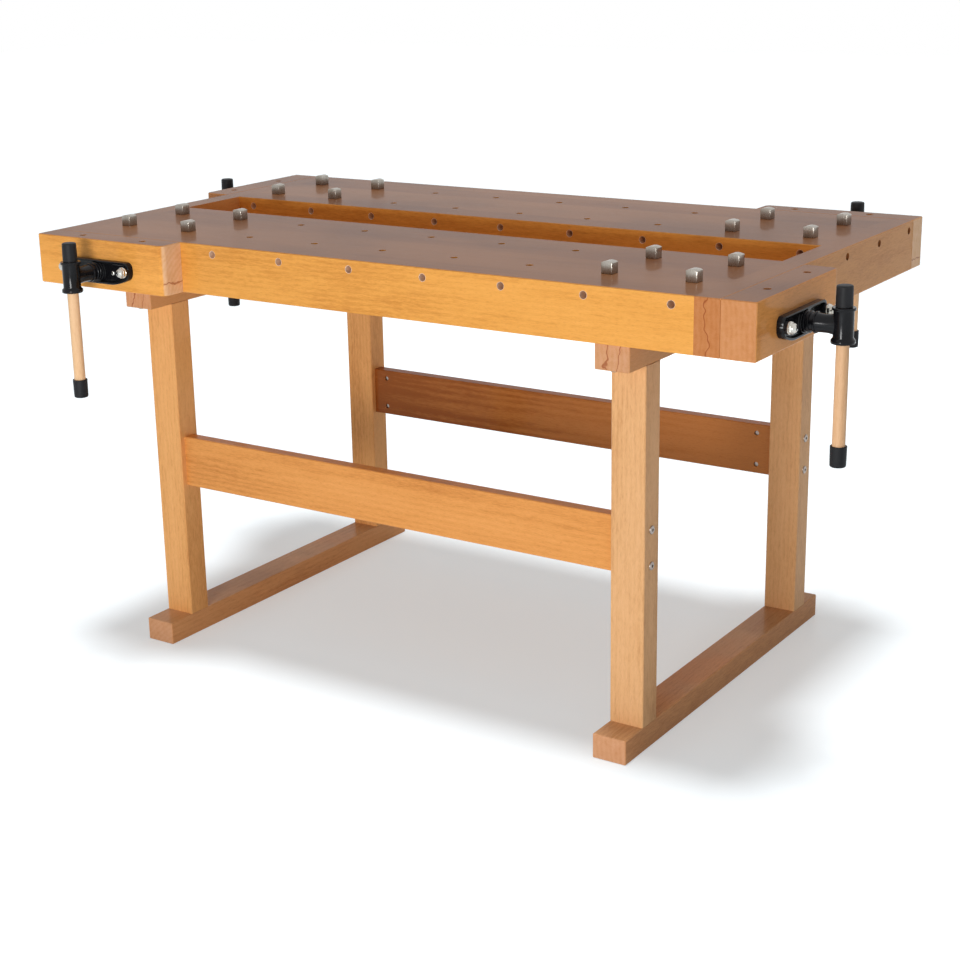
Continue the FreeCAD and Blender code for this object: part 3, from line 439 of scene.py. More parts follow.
class Finish(Nodes):
    """A piece's material, with its patterns on the object's own coordinates."""

    def __init__(self, name):
        super().__init__(bpy.data.materials.new(name))
        coords = self.add("TexCoord").outputs
        self.spot = coords["Object"]
        self.facing = coords["Normal"]

    def stretched(self, vector, scale, shift=(0, 0, 0)):
        return self.add("Mapping", {"Vector": vector, "Scale": scale, "Location": shift}).outputs[0]

    def noise(self, vector, scale=1.0, detail=2.0, roughness=0.5):
        return self.add("TexNoise", {"Vector": vector, "Scale": scale, "Detail": detail,
                                     "Roughness": roughness}).outputs[0]

    def ramp(self, factor, *stops):
        """Colour by factor: each stop is a place and a colour or a grey."""
        node = self.add("ValToRGB", {"Fac": factor})
        while len(node.color_ramp.elements) < len(stops):
            node.color_ramp.elements.new(0.5)
        for element, (place, tone) in zip(node.color_ramp.elements, stops):
            element.position = place
            grey = isinstance(tone, (int, float))
            element.color = (tone, tone, tone, 1) if grey else (*tone, 1)
        return node.outputs[0]

    def blend(self, factor, first, second, mode="MIX"):
        """Colour between the first and the second; sockets 6 and 7 are the node's colours."""
        first, second = (tone if isinstance(tone, bpy.types.NodeSocket) else (*tone, 1)
                         for tone in (first, second))
        return self.add("Mix", {0: factor, 6: first, 7: second}, data_type="RGBA",
                        blend_type=mode).outputs[2]

    def bump(self, height, strength, distance):
        return self.add("Bump", {"Height": height, "Strength": strength,
                                 "Distance": distance * MM}).outputs[0]

    def shade(self, **sockets):
        """The material, its shader's sockets named with _ for a space."""
        named = {name.replace("_", " "): value for name, value in sockets.items()}
        shader = self.add("BsdfPrincipled", named)
        self.add("OutputMaterial", {0: shader.outputs[0]})
        return self.owner


def tinted(tone, *factors):
    """The colour times a factor for each of red, green and blue, at most 1."""
    return tuple(min(1.0, base * factor) for base, factor in zip(tone, factors))


def beech(name, tone, grain, pith, contrast, figure=0.11, staves=0.0, lean=0.0,
          ends=(1.1, 1.1, 1.1), heart=(), lying=None, holes=None):
    """Colour, roughness and height of beech, its fibres along one axis, its rings about a pith.

    The figure is the strength of the rings. The board grows paler along the fibres by the lean, a
    share for each metre. Glued staves are set apart by their tone and a fine seam. On the ends of
    the fibres a dark line runs along each given width (0) or height (1), wandering as far as given.
    Faces that point up take painted light and shade, darker on the top and greyer on the feet.
    Inside a row of bores along Y the wood is bare.
    """
    made = Finish(name)
    spot = made.add("SeparateXYZ", {0: made.spot})
    facing = made.add("SeparateXYZ", {0: made.facing})
    order = {"X": (0, 1, 2), "Y": (1, 0, 2), "Z": (2, 0, 1)}[grain]
    along, across, up = (spot.outputs[i] for i in order)
    board = made.add("CombineXYZ", {0: along, 1: across, 2: up}).outputs[0]
    shift = (pith[0] * 3.1, pith[0], pith[1])

    def grown(stretch, detail, roughness=0.5):
        """Noise stretched along, across and up the board."""
        return made.noise(made.stretched(board, stretch, shift), detail=detail,
                          roughness=roughness)

    # slow drift of the tone, clouding, growth rings, fibres and the short dark flecks of beech
    drift = grown((1.8, 13, 13), 3.0)
    cloud = grown((14, 85, 85), 3.0, 0.6)
    rings = made.add("TexWave", {
        "Vector": made.stretched(board, (0.16, 1, 1), shift), "Scale": 34.0, "Distortion": 4.0,
        "Detail": 3.0, "Detail Scale": 1.0, "Detail Roughness": 0.55},
        wave_type="RINGS", rings_direction="X", wave_profile="SIN").outputs[1]
    fibre = grown((60, 430, 430), 4.0, 0.65)
    fleck = made.ramp(grown((130, 900, 900), 1.0), (0.55, 0.0), (0.68, 1.0))
    tonal = 0.5
    for part, weight in ((drift, 0.85), (cloud, 0.38), (rings, figure), (fibre, 0.8)):
        part = made.maths("SUBTRACT", part, 0.5)
        tonal = made.maths("MULTIPLY_ADD", part, weight * contrast, tonal)
    tonal = made.maths("MULTIPLY_ADD", along, lean, tonal)
    if staves:
        stave = made.maths("FLOOR", made.maths("DIVIDE", across, staves))
        hue = made.add("TexWhiteNoise", {"W": stave}, noise_dimensions="1D").outputs[0]
        tonal = made.maths("MULTIPLY_ADD", made.maths("SUBTRACT", hue, 0.5), 0.40, tonal)
        seam = made.maths("LESS_THAN", made.maths("PINGPONG", across, staves / 2), SEAM)
        tonal = made.maths("MULTIPLY_ADD", seam, -0.5, tonal)
    side = made.ramp(tonal, (0.05, tinted(tone, 0.68, 0.55, 0.44)), (0.5, tone),
                     (0.95, tinted(tone, 1.12, 1.18, 1.35)))
    side = made.blend(made.maths("MULTIPLY", fleck, 0.17 * contrast), side,
                      tinted(tone, 0.52, 0.38, 0.26))

    # the ends of the fibres: pores and rings, and the dark lines, which fade out 1.5 mm away
    lines = made.maths("MULTIPLY", grown((40, 1100, 1100), 3.0), 0.4)
    lines = made.maths("MULTIPLY_ADD", cloud, 0.5, lines)
    lines = made.maths("MULTIPLY_ADD", rings, 0.10, lines)
    cut = tinted(tone, *ends)
    butt = made.ramp(lines, (0.30, tinted(cut, 0.78, 0.76, 0.95)),
                     (0.50, tinted(cut, 0.88, 0.96, 1.4)), (0.72, tinted(cut, 0.94, 1.10, 1.9)))
    if heart:
        wander = made.maths("SUBTRACT", grown((0, 34, 34), 2.0), 0.5)
    for way, place, reach in heart:
        gone = made.maths("SUBTRACT", (across, up)[way], place)
        gone = made.maths("ABSOLUTE", made.maths("MULTIPLY_ADD", wander, reach, gone))
        line = made.ramp(made.maths("MULTIPLY", gone, 500.0), (0.30, 0.85), (0.75, 0.0))
        butt = made.blend(line, butt, tinted(cut, 0.50, 0.32, 0.36))
    end = made.ramp(made.maths("ABSOLUTE", facing.outputs[order[0]]), (0.6, 0.0), (0.8, 1.0))
    base = made.blend(end, side, butt)

    # painted light and shade: faces that point up are tinted in patches, darker on the top and
    # greyer on the feet
    if lying:
        shading_tint = [below / above for below, above in zip(lying, tone)]
        patch = made.noise(made.stretched(made.spot, (2.6, 4.2, 1)), detail=3.0)
        shading_tint = made.ramp(patch, (0.36, tinted(shading_tint, 0.76, 0.72, 0.72)), (0.5, shading_tint),
                         (0.66, tinted(shading_tint, 1.14, 1.16, 1.18)))
        upper = made.ramp(facing.outputs[2], (0.60, 0.0), (0.80, 1.0))
        base = made.blend(upper, base, shading_tint, mode="MULTIPLY")
    if holes:
        pitch, level, radius = holes
        step = made.maths("PINGPONG", spot.outputs[0], pitch / 2)
        rise = made.maths("SUBTRACT", spot.outputs[2], level)
        square = made.maths("MULTIPLY_ADD", rise, rise, made.maths("MULTIPLY", step, step))
        inside = made.maths("LESS_THAN", square, radius * radius)
        base = made.blend(inside, base, BARE_WOOD)
    rough = made.maths("MULTIPLY_ADD", fibre, 0.18, 0.28)
    height = made.maths("SUBTRACT", made.maths("MULTIPLY", fibre, 0.7), fleck)
    return made, base, rough, height


def coat_node(node, material):
    """Give a node of the CAD model its material."""
    mesh = frame["nodes"][node].data
    mesh.materials.clear()
    mesh.materials.append(material)


def varnish(node, name, tone, grain, pith, coat=0.15, coat_rough=0.12, shine=0.04, **how):
    """Give a wooden node its own board of beech under a clear coat."""
    made, base, rough, height = beech(name, tone, grain, pith, **how)
    coat_node(node, made.shade(
        Base_Color=base, Roughness=rough, Specular_IOR_Level=shine, Coat_Weight=coat,
        Coat_Roughness=coat_rough, Coat_IOR=1.45, Normal=made.bump(height, 0.12, 0.25)))


def painted(name, tone, rough):
    """Gloss paint over a cast surface."""
    made = Finish(name)
    skin = made.noise(made.spot, scale=260.0, detail=3.0, roughness=0.55)
    dust = made.noise(made.spot, scale=38.0, detail=4.0)
    base = made.ramp(dust, (0.3, tone), (0.8, tinted(tone, 2.4, 2.3, 2.1)))
    return made.shade(Base_Color=base, Roughness=made.maths("MULTIPLY_ADD", dust, 0.12, rough),
                      Specular_IOR_Level=0.18, Normal=made.bump(skin, 0.22, 0.25))


def polished(name, tone, rough, scratches):
    """Bare metal with fine marks and slight tarnish."""
    made = Finish(name)
    marks = made.noise(made.stretched(made.spot, (900, 900, 70)), detail=3.0, roughness=0.7)
    cloud = made.noise(made.spot, scale=55.0, detail=3.0)
    base = made.ramp(cloud, (0.25, tinted(tone, 0.74, 0.70, 0.64)), (0.6, tone))
    worn = made.maths("MULTIPLY_ADD", marks, scratches, rough)
    return made.shade(Base_Color=base, Metallic=1.0, Roughness=worn,
                      Normal=made.bump(marks, 0.05, 0.1))


def moulded(name, tone):
    """Matt plastic with a fine grain."""
    made = Finish(name)
    skin = made.noise(made.spot, scale=1500.0)
    rub = made.noise(made.stretched(made.spot, (90, 90, 14)), detail=4.0)
    base = made.ramp(rub, (0.35, tone), (0.75, tinted(tone, 2.1, 2.1, 2.1)))
    return made.shade(Base_Color=base, Roughness=made.maths("MULTIPLY_ADD", rub, 0.2, 0.42),
                      Specular_IOR_Level=0.17, Normal=made.bump(skin, 0.2, 0.1))


# ---------------------------------------------------------------- operators

class BENCH_OT_timber(bpy.types.Operator):
    """Give each wooden part its own board of varnished beech"""
    bl_idname = "bench.timber"
    bl_label = "Finish the timber"

    def execute(self, context):
        look = context.scene.bench_timber
        plain = {"contrast": look.streaks}
        # the top's faces that point up get the painted shade tone
        top = {"lying": look.lying, "coat": look.varnish, "coat_rough": 0.05, "shine": 0.02,
               "contrast": look.streaks}
        bores = (look.hole_pitch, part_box("apron_front")[1].z - look.hole_drop, look.hole_radius)
        for end, pith in (("front", (0.31, 0.42)), ("back", (0.27, -0.55))):
            varnish("top_plank_" + end, "top_beech_" + end, look.frame, "X", pith, staves=STAVE,
                    holes=bores, **top)
        for end, pith in (("front", (0.52, -0.62)), ("back", (-0.36, -0.80))):
            varnish("apron_" + end, "apron_beech_" + end, look.frame, "X", pith, lean=0.15,
                    holes=bores, **top)
        for side, pith in (("right", (0.20, -0.79)), ("left", (-0.30, -0.90))):
            low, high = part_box("end_board_" + side)
            lines = [(0, (low.x + high.x) / 2, 0.034), (0, max(low.x, high.x, key=abs), 0)]
            varnish("end_board_" + side, "end_beech_" + side, look.board, "Y", pith,
                    ends=(0.87, 0.66, 0.43), heart=lines, **top)
        for number, station in enumerate(STATIONS):
            pith = (0.38 + 0.07 * number, -0.74 - 0.02 * number)
            if station in ("front_left", "back_right"):
                grain, tone, ends = "X", look.jaw, (1.08, 1.3, 2.2)
                lines = [(1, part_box("jaw_" + station)[0].z + 0.02, 0.034)]
            else:
                grain, tone, ends = "Y", tinted(look.jaw, 0.90, 0.84, 1.05), (0.86, 0.8, 0.76)
                lines = []
            varnish("jaw_" + station, "jaw_beech_" + station, tone, grain, pith, ends=ends,
                    heart=lines, **top)
        for number, side in enumerate(("left", "right")):
            # the feet's faces that point up get a greyer tone, a painted reflection of the light
            varnish("foot_" + side, "foot_beech_" + side, look.foot, "Y", (0.45 + number, 0.07),
                    ends=(1.05, 1.02, 0.9), lying=tinted(look.foot, 0.92, 1.1, 1.35), **plain)
            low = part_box("bearer_" + side)[0].x
            lines = [(0, low + 0.022, 0.03), (0, low + 0.045, 0.03)]
            varnish("bearer_" + side, "bearer_beech_" + side, look.bearer, "Y",
                    (-0.57 + number, -0.70), heart=lines, **plain)
            pale = tinted(look.leg, 1 - 0.07 * number, 1 + 0.04 * number, 1 + 0.35 * number)
            for depth, end in enumerate(("front", "back")):
                corner = end + "_" + side
                varnish("leg_" + corner, "leg_beech_" + corner, pale, "Z",
                        (-0.51 + number, 0.37 - 0.7 * depth), **plain)
        # the back rail's darker colour is painted shade
        for end, tone, pith, figure, lean in (
                ("front", look.rail, (0.30, -0.43), 0.15, 0.1),
                ("back", look.rail_back, (-0.36, -0.37), 0.26, 1.1)):
            varnish("rail_" + end, "rail_beech_" + end, tone, "X", pith, figure=figure,
                    lean=lean, contrast=look.streaks * 1.1)
        varnish("well_bottom", "well_beech", look.well, "X", (0.1, 0.4), **plain)
        return {"FINISHED"}


class BENCH_OT_plates(bpy.types.Operator):
    """Shape a vise's front casting and put one on each jaw"""
    bl_idname = "bench.plates"
    bl_label = "Front castings"

    def execute(self, context):
        shape = context.scene.bench_vise
        look = context.scene.bench_metal
        long = shape.plate_length / MM
        deep = shape.plate_depth / MM
        tall = PLATE_HEIGHT
        flat = deep - sum(out for drawn_in, out in PLATE_ROUNDING)
        piece = block((long, flat, tall), (0, -flat / 2, PLATE_MIDDLE))
        # the lower corners are cut off at a slope
        for side in SIDES:
            pick(piece)
            spot = Vector((side * PLATE_CUT[0], 0, PLATE_CUT[1])) * MM
            slope = Vector((side * PLATE_SLOPE[0], 0, PLATE_SLOPE[1])).normalized()
            bpy.ops.mesh.bisect(plane_co=spot, plane_no=slope, use_fill=True, clear_outer=True)
        end = (long / 2 - 4) * MM
        pick(piece, "EDGE", lambda middle, way: abs(middle.x) > end and abs(way.y) > 0.9)
        bpy.ops.mesh.bevel(offset=PLATE_END_ROUND * MM, segments=6, affect="EDGES")
        pick(piece, "EDGE", lambda middle, way: abs(middle.x) < 0.8 * end
             and middle.z < -20 * MM and abs(way.y) > 0.9)
        bpy.ops.mesh.bevel(offset=PLATE_FOOT_ROUND * MM, segments=4, affect="EDGES")
        # the front is rounded over, left as a rim and sunk
        pick(piece, "FACE", lambda middle, facing: facing.y < -0.9)
        for drawn_in, out in PLATE_ROUNDING + PLATE_SINKING:
            bpy.ops.mesh.extrude_region_move(TRANSFORM_OT_translate={"value": (0, -out * MM, 0)})
            bpy.ops.transform.resize(value=(1 - 2 * drawn_in / long, 1, 1 - 2 * drawn_in / tall),
                                     center_override=(0, 0, PLATE_MIDDLE * MM))
            long -= 2 * drawn_in
            tall -= 2 * drawn_in
        boss = turned([(0, 2), (22.5, 2), (22.4, 8.2), (21.4, 9.2), (21, 10.5), (21, 12.2),
                       (20.2, 13), (0, 13)], turn=OUTWARD)
        bore = shape.spindle_radius / MM + RUNNING_GAP
        parts = [carved(part, rod(bore, 60, (0, -5, 0), 48, OUTWARD))
                 for part in (piece, boss)]
        for centre in rod_centres(shape):
            parts.append(turned([(0, 2), (11.2, 2), (11.2, 8.4), (10.6, 10), (10.4, 13),
                                 (10.3, 17.2), (9.7, BOSS_REACH), (0, BOSS_REACH)],
                                centre, OUTWARD))
        piece = smooth(joined(parts))
        paint = painted("casting_black", look.casting, 0.10)
        to_each_vise(piece, "casting_", paint, "black_casting", "plate_")
        return {"FINISHED"}


class BENCH_OT_rods(bpy.types.Operator):
    """Shape the guide rods with washers and domed nuts, and put a pair in each vise"""
    bl_idname = "bench.rods"
    bl_label = "Guide rods and nuts"

    def execute(self, context):
        shape = context.scene.bench_vise
        look = context.scene.bench_metal
        reach = shape.rod_reach / MM
        thick = shape.rod_radius / MM
        pair = []
        for centre in rod_centres(shape):
            pair.append(turned([(0, -reach), (thick - 1, -reach), (thick, 1 - reach),
                                (thick, BOSS_REACH), (10.3, BOSS_REACH), (10.8, 18.4),
                                (10.8, 19.6), (10.3, 20), (0, 20)], centre, OUTWARD))
            hexagon = rod(NUT_RADIUS, 5, (centre[0], -22.5, centre[2]), 6, OUTWARD)
            pick(hexagon, "FACE", lambda middle, facing: facing.y < -0.9)
            bpy.ops.mesh.bevel(offset=0.9 * MM, segments=2, affect="EDGES")
            pair.append(hexagon)
            pair.append(turned([(0, 24), (8.4, 24), (8.35, 26), (7.9, 27.7), (6.9, 29.2),
                                (5.2, 30.3), (2.9, 30.9), (0, 31)], centre, OUTWARD, steps=36))
        piece = smooth(joined(pair), 40)
        steel = polished("bright_steel", look.bright, 0.10, 0.12)
        to_each_vise(piece, "rods_", steel, "bright_steel", "guide_rods_")
        return {"FINISHED"}


class BENCH_OT_spindles(bpy.types.Operator):
    """Shape the threaded spindle and its T-shaped head, and put one in each vise"""
    bl_idname = "bench.spindles"
    bl_label = "Spindles and heads"

    def thread(self, shape, depth):
        """Collar, plain neck, thread and tip of a spindle behind a jaw of that depth."""
        radius = shape.spindle_radius / MM
        root = radius - THREAD_DEPTH
        lead = shape.lead / MM
        end = -shape.rod_reach / MM
        back = -depth
        start = back - 4
        turns = math.floor((start - end - 4) / lead)
        neck = turned([(0, 6), (radius, 6), (radius, back + 13.6), (19.2, back + 13.6),
                       (20, back + 12.8), (20, back + 4.4), (19.2, back + 3.6),
                       (radius, back + 3.6), (radius, start - 1), (root - 0.2, start - 3),
                       (root - 0.2, end + 2), (root - 1.6, end), (0, end)], turn=OUTWARD, steps=40)
        worm = drawn([(root, 0), (root, 0.28 * lead), (radius, 0.38 * lead),
                      (radius, 0.72 * lead), (root, 0.82 * lead), (root, lead)])
        bpy.ops.object.mode_set(mode="OBJECT")
        modified(worm, "SCREW", axis="Z", angle=math.tau, screw_offset=shape.lead,
                 iterations=turns, steps=20, render_steps=20, use_merge_vertices=True,
                 merge_threshold=WELD * MM)
        pick(worm)
        bpy.ops.mesh.remove_doubles(threshold=WELD * MM)
        bpy.ops.mesh.normals_make_consistent(inside=False)
        bpy.ops.mesh.fill_holes(sides=0)
        bpy.ops.object.mode_set(mode="OBJECT")
        worm.location.z = (start - turns * lead - 2) * MM
        settle(worm)
        worm.rotation_euler = OUTWARD
        return joined([neck, settle(worm)])

    def head(self, shape):
        """Rings on the spindle, an arm that flares to an upright oval, and the bar's hub."""
        reach = shape.head_reach / MM
        rings = turned([(0, 0), (shape.spindle_radius / MM, 0), (shape.spindle_radius / MM, 13.3),
                        (17.7, 13.3), (18.5, 14.1), (18.5, 16.0), (17.7, 16.8), (16, 17.2),
                        (16, 19.6), (17.7, 20), (18.5, 20.8), (18.5, 22.7), (17.7, 23.5),
                        (16, 23.9), (15.8, 29.4), (17.7, 30), (18.5, 30.8), (18.5, 32.7),
                        (17.7, 33.5), (0, 33.5)], turn=OUTWARD)
        let_go()
        bpy.ops.mesh.primitive_circle_add(vertices=48, radius=ARM_RADIUS * MM, fill_type="NGON",
                                          location=(0, -ARM_START * MM, 0), rotation=OUTWARD)
        arm = settle(bpy.context.object)
        pick(arm)
        # step by step it grows narrower across, and upright it is waisted and then flares
        steps = 9
        wide, tall, gone = ARM_RADIUS, ARM_RADIUS, ARM_START
        for number in range(1, steps + 1):
            done = number / steps
            new_wide = ARM_RADIUS - 3.5 * math.sin(done * math.pi / 2)
            new_tall = ARM_RADIUS - 1.6 * math.sin(done * math.pi) + 4.0 * done ** 3
            new_gone = ARM_START + done * (reach - HUB_BITE - ARM_START)
            bpy.ops.mesh.extrude_region_move(
                TRANSFORM_OT_translate={"value": (0, (gone - new_gone) * MM, 0)})
            bpy.ops.transform.resize(value=(new_wide / wide, 1, new_tall / tall),
                                     center_override=(0, -new_gone * MM, 0))
            wide, tall, gone = new_wide, new_tall, new_gone
        bpy.ops.mesh.select_all(action="SELECT")
        bpy.ops.mesh.normals_make_consistent(inside=False)
        bore = shape.bar_radius / MM + RUNNING_GAP
        carved(arm, rod(bore, 80, (0, -reach, 0), 48))
        carved(arm, rod(1.5, 12, (ARM_RADIUS, -37.5, 0), 16, SIDEWAYS))
        hub = turned([(bore, -30), (19.4, -30), (20.3, -28.8), (20.3, -24.6), (19.4, -23.2),
                      (17.6, -21.6), (17, -19.5), (17, 24.0), (17.2, 24.8), (19.2, 25.2),
                      (19.8, 26), (19.8, 29), (18.9, 30), (bore, 30), (bore, -30)],
                     (0, -reach, 0))
        return joined([rings, arm, hub])

    def execute(self, context):
        shape = context.scene.bench_vise
        look = context.scene.bench_metal
        paint = painted("head_black", look.casting, 0.10)
        steel = polished("thread_steel", look.bright, 0.20, 0.2)
        head = smooth(self.head(shape), 40)
        for station in STATIONS:
            place = vise_place(station)
            body = "spindle_" + station
            hand_over(copy_to(head, place), "head_" + station, body, paint, "black_casting",
                      "screw_" + station)
            thread = self.thread(shape, jaw_depth(station) + 0.3)
            thread.matrix_world = place
            settle(thread)
            hand_over(smooth(thread, 30), "spindle_thread_" + station, body, steel, "bright_steel")
        bpy.data.objects.remove(head)
        return {"FINISHED"}


class BENCH_OT_bars(bpy.types.Operator):
    """Shape the sliding bars with their caps, and put one in each vise"""
    bl_idname = "bench.bars"
    bl_label = "Bars and caps"

    def execute(self, context):
        shape = context.scene.bench_vise
        look = context.scene.bench_metal
        radius = shape.bar_radius / MM
        outer = shape.cap_radius / MM
        low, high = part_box("handle_caps_front_left")
        top = (high.z - low.z) / MM / 2
        mouth = top - shape.cap_length / MM
        inner = top - CAP_WALL
        bar = smooth(turned([(0, -inner), (radius - 1, -inner), (radius, 1 - inner), (radius, 0),
                             (radius, inner - 1), (radius - 1, inner), (0, inner)]))
        cap = turned([(0, top), (outer - 3.4, top), (outer - 1.9, top - 0.4),
                      (outer - 0.9, top - 1.3), (outer - 0.5, top - 2.8), (outer - 0.3, top - 12),
                      (outer, mouth + 2), (outer, mouth + 0.6), (outer - 0.6, mouth),
                      (radius + 0.3, mouth), (radius, mouth + 0.5), (radius, inner),
                      (0, inner)])
        modified(cap, "MIRROR", use_axis=(False, False, True), use_mirror_merge=False)
        pick(cap)
        bpy.ops.mesh.normals_make_consistent(inside=False)
        bpy.ops.object.mode_set(mode="OBJECT")
        smooth(cap, 40)
        plastic = moulded("cap_plastic", look.plastic)
        for number, station in enumerate(STATIONS):
            low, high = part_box("handle_" + station)
            place = Matrix.Translation((low + high) / 2)
            body = "lever_" + station
            odd = number % 2
            tone = tinted(context.scene.bench_timber.bar, 1.04 - 0.1 * odd, 1.0 - 0.13 * odd,
                          0.92 - 0.12 * odd)
            made, base, rough, height = beech("bar_beech_" + station, tone, "Z",
                                              (0.3 + number, 0.2), contrast=0.7)
            bare = made.shade(Base_Color=base, Roughness=made.maths("ADD", rough, 0.2),
                              Specular_IOR_Level=0.3, Normal=made.bump(height, 0.2, 0.3))
            hand_over(copy_to(bar, place), "bar_" + station, body, bare, "handle_beech",
                      "handle_" + station)
            hand_over(copy_to(cap, place), "caps_" + station, body, plastic, "black_plastic",
                      "handle_caps_" + station)
        bpy.data.objects.remove(bar)
        bpy.data.objects.remove(cap)
        return {"FINISHED"}


class BENCH_OT_dogs(bpy.types.Operator):
    """Shape a bench dog and stand one in each of its sixteen holes"""
    bl_idname = "bench.dogs"
    bl_label = "Bench dogs"

    def execute(self, context):
        shape = context.scene.bench_dog
        wide = shape.width / MM
        tall = shape.height / MM
        crown = shape.crown / MM
        head = block((wide, wide, tall), (0, 0, tall / 2))
        # the top is divided across and its rows are raised to the arch
        rows = 8
        pick(head, "EDGE", lambda middle, way: abs(way.x) > 0.9)
        bpy.ops.mesh.subdivide(number_cuts=rows - 1)
        for row in range(1, rows):
            spot = (row / rows - 0.5) * wide * MM
            pick(head, "VERT", lambda place, facing: abs(place.x - spot) < 0.1 * MM
                 and place.z > (tall - 1) * MM)
            lift = crown * (1 - (2 * row / rows - 1) ** 2)
            bpy.ops.transform.translate(value=(0, 0, lift * MM))
        eased(head, DOG_ROUND, segments=3, angle=40)
        radius = shape.shank_radius / MM
        long = shape.shank_length / MM
        shank = turned([(0, 3), (radius, 3), (radius, 1.2 - long), (radius - 1, -long),
                        (0, -long)], steps=40)
        piece = smooth(joined([head, shank]), 38)
        nickel = polished("dog_nickel", context.scene.bench_metal.nickel, 0.20, 0.16)
        for name in sorted(frame["bodies"]):
            if name.startswith("dog_"):
                spot = Matrix.Translation(Vector(JOINTS[name + "_lift"]["pos_m"]))
                hand_over(copy_to(piece, spot), "stop_" + name[4:], name, nickel, "dog_nickel",
                          name)
        bpy.data.objects.remove(piece)
        return {"FINISHED"}


class BENCH_OT_fixings(bpy.types.Operator):
    """Shape the frame bolts and the small screws, and finish the nuts and guide castings"""
    bl_idname = "bench.fixings"
    bl_label = "Bolts, screws and guides"

    def small_screw(self):
        """Pan head with a crossed slot, facing outwards."""
        head = turned([(0, -1), (4.5, -1), (4.5, 0.8), (4.3, 1.5), (3.6, 2.2), (2.2, 2.7),
                       (0, 2.8)], turn=OUTWARD, steps=28)
        for size in ((4.6, 2, 0.8), (0.8, 2, 4.6)):
            carved(head, block(size, (0, -2.6, 0)))
        return smooth(head, 40)

    def bolt(self):
        """Low button head with a hexagon socket, its shank going to +Z."""
        head = turned([(0, 1), (8, 1), (8, -0.8), (7.7, -1.5), (6.9, -2.0), (5.6, -2.3),
                       (0, -2.4)], steps=36)
        carved(head, rod(3.2, 4, (0, 0, -2.5), 6))
        shank = turned([(0, 0.5), (4, 0.5), (4, 104), (3, 105), (0, 105)], steps=24)
        return smooth(joined([head, shank]), 40)

    def execute(self, context):
        look = context.scene.bench_metal
        coat_node("vise_guide_blocks", painted("guide_iron", look.guide, 0.40))
        zinc = polished("bolt_zinc", look.zinc, 0.24, 0.2)
        coat_node("barrel_nuts", zinc)
        bolt = self.bolt()
        made = []
        for side in ("left", "right"):
            leg_low, leg_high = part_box("leg_front_" + side)
            outer = leg_low.x if side == "left" else leg_high.x
            inward = Matrix.Rotation(math.pi / 2 if side == "left" else -math.pi / 2, 4, "Y")
            for end in ("front", "back"):
                low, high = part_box("rail_" + end)
                for rise in (-RAIL_BOLT_RISE * MM, RAIL_BOLT_RISE * MM):
                    spot = Vector((outer, (low.y + high.y) / 2, (low.z + high.z) / 2 + rise))
                    made.append(copy_to(bolt, Matrix.Translation(spot) @ inward))
                low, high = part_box("bearer_" + side)
                inset = BEARER_BOLT_INSET * MM
                across = low.y + inset if end == "front" else high.y - inset
                spot = Vector(((low.x + high.x) / 2, across, low.z))
                made.append(copy_to(bolt, Matrix.Translation(spot)))
        bpy.data.objects.remove(bolt)
        hand_over(joined(made), "bolts", "bench", zinc, "bolt_steel", "frame_bolts")
        bright = polished("screw_steel", look.bright, 0.12, 0.1)
        screw = self.small_screw()
        down = Matrix.Rotation(math.pi / 2, 4, "X")
        for station in STATIONS:
            place = vise_place(station)
            pair = [copy_to(screw, place @ Matrix.Translation(Vector(spot) * MM))
                    for spot in PLATE_SCREWS]
            hand_over(joined(pair), "plate_screws_" + station, "vise_" + station, bright,
                      "bright_steel")
            slide = JOINTS[station + "_jaw_slide"]
            under = Matrix.Translation(Vector(slide["pos_m"])) @ place.to_3x3().to_4x4()
            six = [copy_to(screw, under @ Matrix.Translation(Vector(spot) * MM) @ down)
                   for spot in GUIDE_SCREWS]
            hand_over(joined(six), "guide_screws_" + station, "bench", bright, "bright_steel")
        bpy.data.objects.remove(screw)
        return {"FINISHED"}


